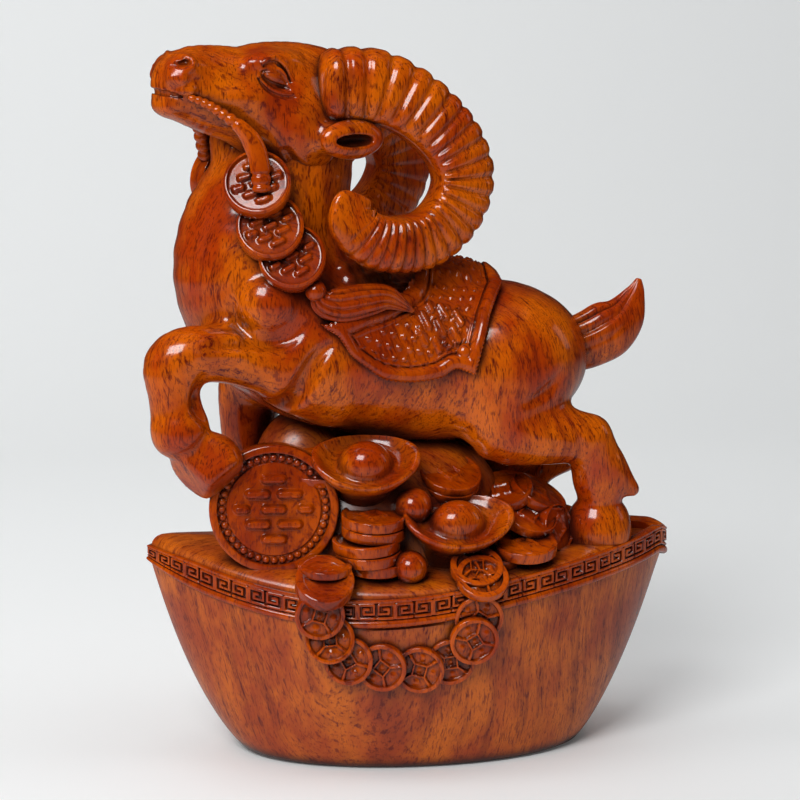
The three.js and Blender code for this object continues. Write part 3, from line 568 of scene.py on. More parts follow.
def swag_relief(x, y):
    """Rim and ring, a diamond with a sunk middle, four spokes, and quarters sunk round small bumps."""
    r = SWAG_COIN_RADIUS
    from_middle = np.hypot(x, y)
    diamond = np.abs(x) + np.abs(y)
    rim = smooth(from_middle, 0.79 * r, 0.84 * r)
    hole = 1 - smooth(np.abs(diamond - 0.36 * r), 0.04 * r, 0.09 * r)
    cross = 1 - smooth(np.minimum(np.abs(x), np.abs(y)), 0.035 * r, 0.085 * r)
    raised = np.maximum(np.maximum(rim, hole), cross * smooth(diamond, 0.34 * r, 0.38 * r))
    bump = np.exp(-((np.abs(x) - 0.4 * r) ** 2 + (np.abs(y) - 0.4 * r) ** 2) / (0.13 * r) ** 2)
    bump = bump + 0.8 * np.exp(-(x ** 2 + y ** 2) / (0.1 * r) ** 2)
    return -0.95 * (1 - raised) * (1 - 0.55 * bump)


def flat_relief(x, y):
    """A coin worn smooth, with a soft raised rim."""
    return 0.25 * smooth(np.hypot(x, y), 5.4, 6.2)


def hull_reach(x, z):
    """Half width of the hull at a place along it and a height over the ground."""
    share = np.minimum(z / (rim_height(x) - BAND_DEPTH), 1)
    half_length, half_width, point = hull_shape(share)
    return half_width * np.sin(np.arccos(np.minimum(np.abs(x) / half_length, 1))) ** point


SWAG_ENDS = [
    ((-29, -36.6, 55.1), (0, -0.8, 1), 0.3, (7.9, 4), flat_relief),
    ((-28.4, -32.8, 58.3), (0, -0.1, 1), 0.3, (7.4, 2.2), flat_relief),
    ((13.7, -36.4, 54.7), (0.05, -0.8, 1), 0.2, (7.2, SWAG_COIN_THICK), swag_relief),
    ((12.7, -33.6, 57), (0, -0.7, 1), 0.7, (7.2, SWAG_COIN_THICK), swag_relief),
]


def swag_shells():
    """The hanging coins along a bow, each leaning along the bow's own run by its tilt, and the coins on
    the deck's edge at its ends."""
    places, shells = np.array(SWAG)[:, :2], []
    for i, (x, z, lap, tilt) in enumerate(SWAG):
        run = places[min(i + 1, len(SWAG) - 1)] - places[max(i - 1, 0)]
        run = tilt * run / np.linalg.norm(run)
        centre = (x, -(hull_reach(x, z) + 0.2 * SWAG_COIN_THICK + lap), z)
        facing = (-run[0], -1, -run[1] - 0.15)
        size = (SWAG_COIN_RADIUS, SWAG_COIN_THICK)
        shells.append(laid_coin(centre, facing, 0.5 + 0.4 * i, size, swag_relief, SWAG_FINENESS))
    return shells + [laid_coin(*end, SWAG_FINENESS) for end in SWAG_ENDS]


finish_piece(solid_object("swag_of_coins", *merged(swag_shells())), carved_wood)


# Ram's body
# Trunk, neck, legs and hooves are one smooth form, carved from the block and sanded until the muscles
# run into each other. It is worked out as a distance on a lattice, where limbs are blended and creases
# are cut, and its skin is drawn where the distance is nothing, which a swept form can't do.
DECK_HEIGHT, FIGURE_X = 56, -0.85
NEAR, FAR = -1, 1
BODY_STEP = 0.84
REACH, STROKE_START, TINY = 9.0, 33.0, 1e-4
SEEK_REACH, SEEK_STEP, LIMB_LINKS = 60, 0.25, 3


def on_deck(points):
    """Points of the figure, measured from the middle of the deck, in the frame of the block."""
    return np.asarray(points, float) + (FIGURE_X, 0, DECK_HEIGHT)


def spline(rows, places):
    """A smooth cubic through rows of numbers (Catmull-Rom), at places that count the rows from 0."""
    rows = np.asarray(rows, float)
    padded = np.vstack([2 * rows[0] - rows[1], rows, 2 * rows[-1] - rows[-2]])
    first = np.clip(np.floor(places).astype(int), 0, len(rows) - 2)
    t = (places - first)[:, None]
    a, b, c, d = (padded[first + k] for k in range(4))
    bend, twist = 2 * a - 5 * b + 4 * c - d, 3 * b - a - 3 * c + d
    return 0.5 * (2 * b + (c - a) * t + bend * t ** 2 + twist * t ** 3)


def lattice(low, high, step):
    """Places along X, Y and Z, a step apart, that cover a box."""
    return [np.arange(a, b + step, step, dtype=np.float32) for a, b in zip(low, high)]


def window(axes, low, high):
    """The part of a lattice inside a box: its slices, and its three open coordinate arrays."""
    cut = tuple(slice(*np.searchsorted(axis, (a, b))) for axis, a, b in zip(axes, low, high))
    return cut, np.ix_(*(axis[part] for axis, part in zip(axes, cut)))


def on_side(side, rows):
    """Rows whose second number is a place out from the middle, taken to the near or the far side."""
    return [(first, side * out, *rest) for first, out, *rest in rows]


def limb(axes, stations, place=on_deck, cross=(0, 1, 0), dome=0.8):
    """Distance from a limb with an elliptical section along a smooth curve.
    A station is x, y, z, half height and half width. For each short link of the curve, the nearest place
    on it gives the section, and the distance is the offset's length less the section's reach that way."""
    value = np.full([len(axis) for axis in axes], NOWHERE, np.float32)
    rows = spline(stations, np.linspace(0, len(stations) - 1, (len(stations) - 1) * LIMB_LINKS + 1))
    centre, size = place(rows[:, :3]).astype(np.float32), np.maximum(rows[:, 3:], 0.2).astype(np.float32)
    side = (place([cross]) - place([(0, 0, 0)]))[0]
    for k in range(len(rows) - 1):
        start, step = centre[k], centre[k + 1] - centre[k]
        length = np.linalg.norm(step)
        along = step / length
        wide = side - side @ along * along
        wide = wide / np.linalg.norm(wide)
        tall = np.cross(along, wide)
        reach = size[k:k + 2].max() + REACH
        cut, (x, y, z) = window(axes, np.minimum(start, centre[k + 1]) - reach,
                                np.maximum(start, centre[k + 1]) + reach)
        x, y, z = x - start[0], y - start[1], z - start[2]
        t = x * along[0] + y * along[1] + z * along[2]
        share = np.clip(t / length, 0, 1)
        half_tall = size[k, 0] + share * (size[k + 1, 0] - size[k, 0])
        half_wide = size[k, 1] + share * (size[k + 1, 1] - size[k, 1])
        past = t - share * length
        up = x * tall[0] + y * tall[1] + z * tall[2]
        out = x * wide[0] + y * wide[1] + z * wide[2]
        cap = np.minimum(half_tall, half_wide) * (dome if k in (0, len(rows) - 2) else 1)
        offset = np.sqrt(up ** 2 + out ** 2 + past ** 2) + TINY
        inside = np.sqrt((up / half_tall) ** 2 + (out / half_wide) ** 2 + (past / cap) ** 2) + TINY
        value[cut] = np.minimum(value[cut], offset * (1 - 1 / inside))
    return value


def egg(axes, centre, radii, place=on_deck):
    """Distance from an ellipsoid, whose own axes are those of the place it is in."""
    value = np.full([len(axis) for axis in axes], NOWHERE, np.float32)
    middle = place([centre])[0]
    turn = place(np.eye(3)) - place(np.zeros((1, 3)))
    cut, (x, y, z) = window(axes, middle - max(radii) - REACH, middle + max(radii) + REACH)
    x, y, z = x - middle[0], y - middle[1], z - middle[2]
    parts = [x * a[0] + y * a[1] + z * a[2] for a in turn]
    near = np.sqrt(sum((p / r) ** 2 for p, r in zip(parts, radii))) + TINY
    slope = np.sqrt(sum((p / r ** 2) ** 2 for p, r in zip(parts, radii))) + TINY
    value[cut] = near * (near - 1) / slope
    return value


def blend(one, other, soft):
    """The union of two distances, with a fillet of about the size soft where they meet."""
    share = np.clip(0.5 + 0.5 * (other - one) / soft, 0, 1)
    return other + (one - other) * share - soft * share * (1 - share)


def carve(one, tool, soft):
    """What is left of a distance when a tool's is cut away, with edges rounded to about soft."""
    return -blend(-one, tool, soft)


def sample(axes, value, points):
    """A lattice's value at points, from the eight corners round each."""
    step = axes[0][1] - axes[0][0]
    place = (points - [axis[0] for axis in axes]) / step
    low = np.clip(np.floor(place).astype(int), 0, np.array(value.shape[:3]) - 2)
    t = np.clip(place - low, 0, 1)
    total = 0
    for corner in np.ndindex(2, 2, 2):
        weight = np.prod(np.where(corner, t, 1 - t), axis=1)
        total = total + value[tuple((low + corner).T)] * (weight if value.ndim == 3 else weight[:, None])
    return total


def to_surface(axes, value, points, way):
    """Moves each point along a way, a step at a time, until it is inside the form, and says which are."""
    points, found = np.array(points, float), np.zeros(len(points), bool)
    for _ in range(int(SEEK_REACH / SEEK_STEP)):
        found = found | (sample(axes, value, points) < 0)
        points[~found] += SEEK_STEP * np.asarray(way, float)
    return points, found


def stroke(axes, value, line, side, place=on_deck):
    """Distance from a thin round stroke on the form's skin. A row of the line gives the first and third
    of the place's own coordinates and the stroke's radius; the point comes in from a side until it
    meets the skin."""
    line = np.asarray(line, float)
    starts = place(np.stack([line[:, 0], np.full(len(line), side * STROKE_START), line[:, 1]], -1))
    way = (place([(0, -side, 0)]) - place([(0, 0, 0)]))[0]
    spots, found = to_surface(axes, value, starts, way)
    return limb(axes, np.column_stack([spots, line[:, [2, 2]]])[found], place=np.asarray)


def slopes(axes, value):
    """The gradient of a lattice of distances."""
    return np.stack(np.gradient(value, axes[0][1] - axes[0][0]), -1)


def skin_of(axes, value):
    """The closed skin where a lattice of distances is nothing.
    Each corner is moved on to it along the slope, which smooths out the lattice's own steps."""
    grid = openvdb.FloatGrid(NOWHERE)
    grid.copyFromArray(value.astype(np.float32))
    places, quads = grid.convertToQuads(0.0)
    points = places * (axes[0][1] - axes[0][0]) + [axis[0] for axis in axes]
    slope = slopes(axes, value)
    for _ in range(3):
        steep = sample(axes, slope, points)
        points -= (sample(axes, value, points) / (steep ** 2).sum(1))[:, None] * steep
    return outward(points, quads.astype(int), np.zeros((0, 3), int))


def smoothed(value):
    """A lattice blurred with the weights 1, 2, 1 along each axis."""
    for axis in range(3):
        padded = np.pad(value, [(1, 1) if a == axis else (0, 0) for a in range(3)], mode="edge")
        count = value.shape[axis]
        parts = [np.take(padded, range(k, k + count), axis) for k in range(3)]
        value = 0.25 * parts[0] + 0.5 * parts[1] + 0.25 * parts[2]
    return value


TRUNK = [
    (37.8, 0, 51.8, 13.2, 12.5), (32, 0, 52.4, 18.6, 17.5), (22, 0, 52.6, 21.7, 20), (6, 0, 52.6, 23.2, 20.5),
    (-10, 0, 55, 23.8, 21), (-25, 0, 60.6, 24.8, 21.5), (-35.5, 0, 69, 25.2, 21.2), (-40, 0, 79, 24.4, 20.4),
    (-39.4, 0, 90, 22, 18.4), (-34.8, -1, 100, 19, 15.5), (-31.2, -2, 110, 16, 13), (-31, -3, 120, 13, 12),
]
LEGS = {
    "near_fore": [
        (-22, -12, 50, 12, 9), (-32, -15, 52, 10.6, 8.6), (-41, -17, 55, 8, 7.4), (-52, -19, 58, 7.2, 6.6),
        (-60.6, -20, 58.8, 8, 7), (-65.6, -20, 55.6, 8.8, 7), (-66.2, -20, 49, 7, 6.8),
        (-65.4, -20.5, 43, 7.2, 6.4), (-64.8, -21, 39.4, 8, 7), (-64.6, -21.2, 37, 7.8, 6.9),
    ],
    "far_fore": [
        (-35, 12, 52, 12, 9), (-40.6, 13.5, 44, 10.4, 7), (-42.6, 14, 36, 8.2, 6.4), (-43, 14, 24, 6.4, 6.2),
        (-41.5, 14, 12, 6, 6), (-41, 14, 9, 6.2, 6.2),
    ],
    "near_hind": [
        (28.6, -9, 56, 15, 11), (26, -12, 44, 14.2, 10), (25, -14, 36.5, 11.6, 8.6),
        (34, -15, 33.4, 8.8, 7.4), (44, -15, 32.2, 7.4, 6.8), (48.4, -14.6, 29, 7.2, 6.2),
        (50.4, -14.2, 24.6, 7.3, 5.8), (51.6, -13.6, 20.2, 7.7, 5.8), (51.8, -12.8, 16.4, 6.6, 5.6),
        (51.8, -12, 13, 5.6, 5.4),
    ],
    "far_hind": [
        (30.5, 9, 52, 14.5, 10), (28, 12, 36.5, 14.4, 9), (26.4, 13, 25.5, 11.6, 8), (37, 13.5, 24.5, 8, 7),
        (46.4, 14, 23, 7, 5.6), (40.5, 14, 18, 5, 5.4), (35, 14, 11.5, 5.4, 5.6), (34, 14, 7, 5.8, 5.8),
    ],
}
HOOVES = [
    [(-41, 14, 8.2, 7, 6.8), (-41, 14, 4, 8.2, 7.8), (-41, 14, -1, 8.9, 8.4)],
    [(51.8, -11.4, 8.2, 8.6, 8), (51.9, -11.4, 5, 9.2, 8.6), (52, -11.4, 1.2, 9, 8.4)],
    [(33.8, 14, 6.2, 6.6, 6.4), (33.5, 14, 3, 7.2, 6.9), (33.4, 14, -1, 7.8, 7.2)],
]
RAISED_HOOF, HOOF_RADII = (-57.8, -21.4, 28.6), (10.2, 8.8, 9.6)
HOOF_FACETS = [
    [(-57.6, -26.4, 31), (-0.1, -0.95, 0.25)], [(-61, -26.4, 27.8), (-0.6, -0.45, -0.5)],
    [(-52.8, -26.4, 27.6), (0.5, -0.45, -0.6)],
]
SPUR = [(53.4, -14, 24, 5, 4.6), (57, -13.8, 19.6, 4, 3.6), (61.2, -13.8, 16.4, 2, 2)]
HOCK, HOCK_RADII = (49.6, -15, 33.6), (4, 4.6, 4)
BODY_BOX = ((-80, -34, 50), (68, 34, 182))
BACK, BACK_RADII = (9, 0, 74.5), (13, 9, 4.6)
THIGH, THIGH_RADII = (28.6, 10, 54), (16, 11.5, 16)
SHOULDER, SHOULDER_RADII = (-40.2, 16.8, 72), (9, 7.8, 9)
THROAT, THROAT_RADII = (-49, 0, 113.5), (5, 6, 7)
THIGH_JOIN, LEG_JOIN, HOOF_JOIN, TENDON_JOIN, CREASE_JOIN = 7.0, 6.0, 0.9, 2.4, 1.4
BOTH_CREASES = [
    [(-49.8, 73, 0.5), (-49, 67, 1.2), (-45, 63, 1.8), (-39.6, 61.8, 1.9), (-34.4, 63, 1.2), (-31, 67, 0.5)],
    [(-24, 61, 0.8), (-28, 57.6, 2), (-30.6, 52.8, 2.8), (-34, 47, 3), (-39, 43.6, 2.4)],
    [(39, 51.4, 0.4), (36.4, 47.6, 1.4), (33.4, 45.2, 1.4), (28.4, 43.4, 0.5)],
    [(36.4, 37, 0.3), (41, 35.6, 0.7), (43.8, 32, 0.8), (43, 27, 0.4)],
]
NEAR_CREASES = [
    [(-68.1, 32.5, 0.4), (-64.4, 33.1, 0.7), (-61.2, 34.9, 0.8), (-58.4, 37.6, 0.8), (-56.2, 38.7, 0.4)],
    [(-57, 61.4, 0.4), (-53, 61.7, 0.8), (-48.4, 61.4, 0.8), (-43.4, 61.2, 0.3)],
    [(-58.6, 54, 0.8), (-60.6, 49, 1.8), (-60.2, 44.6, 2), (-57.6, 41, 1.2)],
]
FLEECE_BUMP, FLEECE_PITCH = 2.1, 3.5
FLEECE = [(-20 + FLEECE_PITCH * (i + 0.5 * (j % 2)), 73.6 + 0.9 * FLEECE_PITCH * j)
          for j in range(3) for i in range(6) if i + 2.1 * j < 5.5]
TENDONS = [
    [(-58, 63.6, 0.5), (-52.6, 63.9, 1.1), (-46.6, 63, 0.9), (-43, 62.8, 0.3)],
    [(-59.4, 59.8, 0.4), (-54, 59.6, 1), (-48, 59.2, 0.5)],
]


def beyond(axes, point, normal):
    """Distance from the half space beyond a plane: a point on it, and the way that it faces."""
    x, y, z = np.ix_(*axes)
    at, way = on_deck([point])[0], np.array(normal) / np.linalg.norm(normal)
    return -((x - at[0]) * way[0] + (y - at[1]) * way[1] + (z - at[2]) * way[2])


def body_distance(axes):
    """The trunk and legs blended, with the shoulders and thighs as swells, and the hooves set on.
    Tendons, creases and a wedge of fleece curls in front of the cloth are then strokes on its skin."""
    whole = limb(axes, TRUNK)
    whole = blend(whole, egg(axes, BACK, BACK_RADII), 3)
    for side in (NEAR, FAR):
        whole = blend(whole, egg(axes, on_side(side, [THIGH])[0], THIGH_RADII), THIGH_JOIN)
    for stations in LEGS.values():
        whole = blend(whole, limb(axes, stations), LEG_JOIN)
    for side in (NEAR, FAR):
        whole = blend(whole, egg(axes, on_side(side, [SHOULDER])[0], SHOULDER_RADII), 1)
    whole = blend(whole, egg(axes, THROAT, THROAT_RADII), 4)
    whole = blend(blend(whole, limb(axes, SPUR), 2), egg(axes, HOCK, HOCK_RADII), 3)
    hoof = egg(axes, RAISED_HOOF, HOOF_RADII)
    for plane in HOOF_FACETS:
        hoof = carve(hoof, beyond(axes, *plane), 0.7)
    whole = blend(whole, hoof, 0.5)
    for stations in HOOVES:
        whole = blend(whole, limb(axes, stations, dome=0.3), HOOF_JOIN)
    for line in TENDONS:
        whole = blend(whole, stroke(axes, whole, line, NEAR), TENDON_JOIN)
    for side, lines in ((NEAR, BOTH_CREASES + NEAR_CREASES), (FAR, BOTH_CREASES)):
        for line in lines:
            whole = carve(whole, stroke(axes, whole, line, side), CREASE_JOIN)
    curls = []
    for x, z in FLEECE:
        line = [(x, z, FLEECE_BUMP), (x + 0.4, z + 0.4, FLEECE_BUMP)]
        curls.append(stroke(axes, whole, line, NEAR))
    return smoothed(blend(whole, np.minimum.reduce(curls), 0.8))


body_axes = lattice(*BODY_BOX, BODY_STEP)
body_field = body_distance(body_axes)
body = solid_object("ram_body", *skin_of(body_axes, body_field), sharp=180)
finish_piece(body, figure_wood)


# Ram's head
# The head looks up and a little to the near side. Its cheeks, brow, muzzle, lips and eye sockets are
# modelled on a finer lattice, and its skirt runs into the neck under the jaw.
HEAD_PIVOT, HEAD_TURN = np.array([-29.7, -3, 121.9]), np.radians(17)
HEAD_STEP = 0.38
HEAD_BOX = ((-82, -28, 152), (-4, 34, 200))


def in_head(points):
    """Points given as forward to the muzzle, out to the far side and up from the head's pivot."""
    forward, out, up = np.moveaxis(np.asarray(points, float), -1, 0)
    x = HEAD_PIVOT[0] - forward * np.cos(HEAD_TURN) - out * np.sin(HEAD_TURN)
    y = HEAD_PIVOT[1] - forward * np.sin(HEAD_TURN) + out * np.cos(HEAD_TURN)
    return on_deck(np.stack([x, y, HEAD_PIVOT[2] + up], -1))


SKULL = [
    (-12, 0, -2.2, 14.8, 9.5), (-4, 0, -1.1, 17.7, 12.6), (4, 0, 1.1, 17.5, 13.4), (11, 0, 3.5, 15.4, 12.8),
    (18, 0, 4.8, 12.9, 11), (25, 0, 6.5, 11.9, 9.2), (32, 0, 8, 10.4, 8), (36.4, 0, 7.6, 8, 7.2),
]
HEAD_SWELLS = [
    ((1, 8.6, -4.5), (12.5, 6.2, 11), 3), ((12, 8.4, 14.2), (7, 3.2, 2.4), 4),
    ((19, 7.8, 5.2), (7, 3, 2.4), 3), ((34.6, 4.6, 12.8), (5.4, 3.8, 3.8), 2),
]
SOCKET, SOCKET_RADII = (12, 14.8, 10.3), (6.6, 4.4, 4.2)
CHIN, CHIN_RADII = (37.3, 0, 3), (5, 6, 3.2)
EAR_STEM = [(2, 12, -5.6, 4.4, 3), (-3, 15, -6, 4.8, 3.4), (-6.6, 17, -6.4, 4.6, 2.8)]
EAR_BLADE, EAR_BLADE_RADII = (-6.8, 18.4, -6.4), (9.2, 3, 5.4)
EAR_HOLLOW, EAR_HOLLOW_RADII = (-6.8, 21.4, -6.6), (5.6, 5, 1.7)
MOUTH = [(52, 0, 8.3, 0.2, 16), (44.5, 0, 7.3, 0.5, 14), (40, 0, 6.5, 0.8, 13), (36.8, 0, 5.7, 0.3, 12)]
MOUTH_DEPTH = 0.9
EYEBALL = [(15, 11.4, 11.2, 0.6, 0.6), (13.6, 11.1, 11, 1.6, 1.6), (12.1, 10.9, 10.3, 2.1, 2.1),
           (10.4, 11, 9.3, 1.6, 1.6), (9, 11.3, 8.3, 0.6, 0.6)]
UPPER_LID = [(16.3, 12.4, 0.4), (15.1, 12.7, 0.6), (12.1, 12.8, 0.75), (10.3, 11.1, 0.7), (8.9, 8.6, 0.6),
             (7.6, 6.2, 0.4)]
LOWER_LID = [(16.9, 11.7, 0.4), (16.2, 9.7, 0.6), (14.9, 8.1, 0.7), (13.1, 6.8, 0.7), (10.7, 6, 0.6),
             (7.5, 5.7, 0.4)]
UPPER_FOLD = [(16, 13.2, 0.4), (15.3, 14.5, 0.6), (13.5, 15.3, 0.7), (11.4, 15.6, 0.7), (9.6, 13.5, 0.7),
              (8.2, 11.4, 0.6), (7.3, 9.4, 0.4)]
EYE_CUTS = [
    [(15.8, 13.1, 0.3), (14.4, 13.9, 0.5), (12.2, 14.2, 0.5), (10.5, 12.8, 0.5), (9.1, 10.8, 0.45),
     (8.1, 8.6, 0.3)],
    [(15.6, 11.9, 0.3), (13.8, 12, 0.5), (12, 11.8, 0.6), (10.4, 10.4, 0.55), (9.2, 8.6, 0.3)],
    [(15.6, 10.8, 0.3), (14.2, 9.4, 0.5), (12.4, 8.5, 0.6), (10.4, 7.8, 0.6), (8.6, 7.2, 0.3)],
    [(16.8, 10.2, 0.3), (15.6, 8, 0.45), (13.6, 6.2, 0.5), (10.8, 5.1, 0.5), (7.4, 4.9, 0.3)],
]
NOSTRIL_RIM = [(37.7, 16.2, 0.3), (35.9, 16.4, 0.6), (34.1, 15.1, 0.8), (34.7, 13.4, 0.8), (37.1, 12.6, 0.6),
               (40.1, 13, 0.3)]
NOSTRIL_CUTS = [
    [(35.5, 14.8, 0.9), (37.1, 14.5, 0.8), (39.3, 14.1, 0.4)], [(35.7, 14.8, 0.7), (37.1, 14.5, 0.5)],
]
LIPS = [[(39.4, 10.6, 1.2), (37, 10.4, 1.4)], [(36.6, 7.6, 1.2), (35, 7.4, 1.3)]]
CHEEK_EDGE = [(9.4, -9.6, 0.3), (5, -14.4, 0.9), (-1, -16, 1), (-5.6, -12, 0.5)]


def head_distance(axes):
    """The skull with its cheeks, brows, muzzle, ears and chin, and the sockets sunk. Lids, folds, lips and
    nostrils are then drawn on its skin as raised and cut strokes, and the mouth is cut last."""
    whole = limb(axes, SKULL, place=in_head, dome=0.75)
    for side in (NEAR, FAR):
        for at, radii, soft in HEAD_SWELLS:
            whole = blend(whole, egg(axes, on_side(side, [at])[0], radii, in_head), soft)
        socket, blade, hollow = on_side(side, [SOCKET, EAR_BLADE, EAR_HOLLOW])
        whole = carve(whole, egg(axes, socket, SOCKET_RADII, in_head), 1.2)
        ear = limb(axes, on_side(side, EAR_STEM), in_head, cross=(0.4, 1, 0))
        ear = blend(ear, egg(axes, blade, EAR_BLADE_RADII, in_head), 1)
        ear = carve(ear, egg(axes, hollow, EAR_HOLLOW_RADII, in_head), 0.5)
        whole = blend(whole, ear, 1)
    whole = smoothed(blend(whole, egg(axes, CHIN, CHIN_RADII, in_head), 2))
    for side in (NEAR, FAR):
        whole = blend(whole, limb(axes, on_side(side, EYEBALL), in_head), 0.3)
        raised = [stroke(axes, whole, line, side, in_head) for line in (UPPER_LID, LOWER_LID, UPPER_FOLD)]
        rim = stroke(axes, whole, NOSTRIL_RIM, side, in_head)
        lips = [stroke(axes, whole, line, side, in_head) for line in LIPS]
        cuts = [stroke(axes, whole, line, side, in_head) for line in EYE_CUTS]
        cheek = stroke(axes, whole, CHEEK_EDGE, side, in_head)
        for line in raised:
            whole = blend(whole, line, 0.3)
        whole = blend(blend(whole, rim, 0.7), np.minimum(*lips), 2.4)
        whole = carve(carve(whole, np.minimum.reduce(cuts), 0.25), cheek, 2.4)
        for line in NOSTRIL_CUTS:
            whole = carve(whole, stroke(axes, whole, line, side, in_head), 0.4)
    return np.minimum(carve(whole, limb(axes, MOUTH, place=in_head), 0.4), whole + MOUTH_DEPTH)


head_axes = lattice(*HEAD_BOX, HEAD_STEP)
head_field = head_distance(head_axes)
head = solid_object("ram_head", *skin_of(head_axes, head_field), sharp=180)
finish_piece(head, figure_wood)


# Horns
# Each horn curls back, down and forward round an open loop, to a leaf-shaped tip. Ribs run over its
# outside, close together towards the tip, and the wall towards the loop is smooth.
HORN_SQUARE, HORN_DEPTH, HORN_ROWS, HORN_SIDES = 3.0, 0.12, 420, 84
HORN_RIBS_AT = [0.5, 1.4, 2.6, 4.2, 6.3, 8.8, 11.1, 13.6, 16.3, 19.4, 22.5, 25.1, 27]
FAR_HORN_STOUT, FAR_HORN_LOW, END_DOME = 0.4, 4.4, 0.5


def swept(stations, place, rows, sides, section):
    """A closed skin along a smooth curve, from a section that is a factor of the half sizes.
    The section is a function of the angle round the curve (0 is along the bend's plane) and the share of
    the way along, both as arrays."""
    count = len(stations) - 1
    share = np.linspace(0, 1, rows)
    line = spline(stations, share * count)
    centre = place(line[:, :3])
    along = np.gradient(centre, axis=0)
    along /= np.linalg.norm(along, axis=1, keepdims=True)
    side = (place([(0, 1, 0)]) - place([(0, 0, 0)]))[0]
    wide = side - (along @ side)[:, None] * along
    wide /= np.linalg.norm(wide, axis=1, keepdims=True)
    tall = np.cross(along, wide)
    angle = np.linspace(0, 2 * np.pi, sides, endpoint=False)
    factor = section(angle[None, :], share[:, None])
    factor = np.broadcast_to(factor, (rows, sides))
    size = np.maximum(line[:, 3:], 0.05)
    up = factor * size[:, :1] * np.cos(angle)
    out = factor * size[:, 1:] * np.sin(angle)
    rings = centre[:, None] + up[..., None] * tall[:, None] + out[..., None] * wide[:, None]
    ends = END_DOME * size[[0, -1]].min(1)
    caps = []
    for end, direction in ((0, -1), (-1, 1)):
        for lean in (np.pi / 3, np.pi / 6):
            ring = centre[end] + (rings[end] - centre[end]) * np.sin(np.pi / 2 - lean)
            caps.append(ring + direction * ends[end] * np.sin(lean) * along[end])
    rings = np.concatenate([[caps[0]], [caps[1]], rings, [caps[3]], [caps[2]]])
    first, last = centre[0] - ends[0] * along[0], centre[-1] + ends[-1] * along[-1]
    return skin(rings, first, last)


def horn_stations(side):
    """Forward, out, up, half height and half width along a horn. The far one is stouter at the back and
    starts lower."""
    stout = FAR_HORN_STOUT if side == FAR else 0
    low = FAR_HORN_LOW if side == FAR else 0
    rows = [
        (-4, 11.5, 7.4 - low, 9.8, 8.2), (-9, 12.5, 7.4 - low, 10.2, 8.2),
        (-15.4, 14, 6.8 - 0.5 * low, 10.1, 8), (-23.1, 16, 3.6, 9.5, 7.4),
        (-30.8 + stout, 18, -2.4, 9 + stout, 6.6),
        (-36.8 + stout, 19, -10, 8.7 + stout, 6.2), (-39.2 + stout, 19.4, -18.5, 8.5 + stout, 6.2),
        (-36.2 + stout, 19.8, -27, 8.2 + stout, 6.4), (-28.8, 20.4, -33.4, 7.8, 6.6),
        (-20, 21, -35, 7.7, 6.4), (-11.4, 22, -33.4, 7.4, 5.6), (-5.4, 23, -29, 6.8, 4.2),
        (-4.6, 23.6, -24, 6.4, 2.2), (-6, 23.8, -20.8, 4, 1.2),
    ]
    return on_side(side, rows)


def horn_section(angle, share, side):
    """A rounded square, grooved between ribs on the sides away from the loop and from the other horn."""
    powers = np.abs(np.cos(angle)) ** HORN_SQUARE + np.abs(np.sin(angle)) ** HORN_SQUARE
    count = np.interp(share * len(HORN_RIBS_AT), np.arange(len(HORN_RIBS_AT)), HORN_RIBS_AT)
    groove = (0.5 + 0.5 * np.cos(2 * np.pi * count)) ** 2.6
    fade = np.clip((0.86 - share) / 0.05, 0, 1)
    outside = smooth(np.cos(angle), -0.84, -0.6) * (1 - 0.35 * smooth(np.cos(angle), 0.5, 0.9))
    inner = 1 - 0.75 * smooth(-side * np.sin(angle), 0.1, 0.7)
    return powers ** (-1 / HORN_SQUARE) * (1 - HORN_DEPTH * groove * fade * outside * inner)


for side, name in ((NEAR, "near_horn"), (FAR, "far_horn")):
    shell = swept(horn_stations(side), in_head, HORN_ROWS, HORN_SIDES,
                  lambda angle, share: horn_section(angle, share, side))
    finish_piece(solid_object(name, *shell, sharp=180), figure_wood)


# Tail
# A short upturned tail like a leaf, with a few locks cut along it.
TAIL = [
    (41, 0, 53.6, 6.6, 4.4), (46, 0, 55, 7.6, 4.8), (51.5, 0, 56.8, 8.1, 5.2), (56.8, 0, 59.6, 8.2, 5.4),
    (61, 0, 63.4, 6.2, 4.2), (64, 0, 69.4, 2.9, 1.8), (65, 0, 73, 0.9, 0.7),
]


def tail_section(angle, share):
    """Round, with locks as grooves on the upper half, which fade towards the smooth underside."""
    lock = (0.5 + 0.5 * np.cos(11 * angle)) ** 3
    upper = np.clip(0.5 + 1.6 * np.cos(angle), 0, 1)
    return 1 - 0.17 * lock * upper * np.sin(np.pi * np.clip(share * 1.02, 0, 1)) ** 0.4


finish_piece(solid_object("tail", *swept(TAIL, on_deck, 90, 90, tail_section), sharp=60), figure_wood)


# Saddle cloth
# A cloth carved over the back, hanging down either flank. It has a thick rolled border with a line cut
# inside it, a stud near the rear corner, and small bosses all over a field with rows of strokes.
# The front and rear edges are places along the back against the share of the way down, and the bottom
# edge is places along the back with their angles round the trunk.
CLOTH_THICK, CLOTH_BORDER, BORDER_PROUD = 1.7, 3.6, 1.7
CLOTH_BOTTOM = [
    (-27, 79), (-22.4, 81), (-19.2, 90), (-15.7, 94), (-10, 99), (-2.3, 99), (5.4, 94), (9.7, 88), (14.8, 92),
]
CLOTH_FRONT = [(0, 3), (0.35, 0), (0.5, -4), (0.73, -16), (1, -27)]
CLOTH_REAR = [(0, 24.5), (0.26, 24.6), (0.58, 19.4), (1, 14.8)]
CLOTH_GRID, CLOTH_FOOT = (200, 150), 1.6
CAST_FROM, CAST_STEPS = 40.0, 30
STROKES_MIDDLE, STROKES_LEAN = (6, 22), 62
STUD_PLACE, STUD_RADIUS = (12.0, 27.5), 2.0
BOSS_PITCH, BOSS_RADIUS = 2.8, 0.85


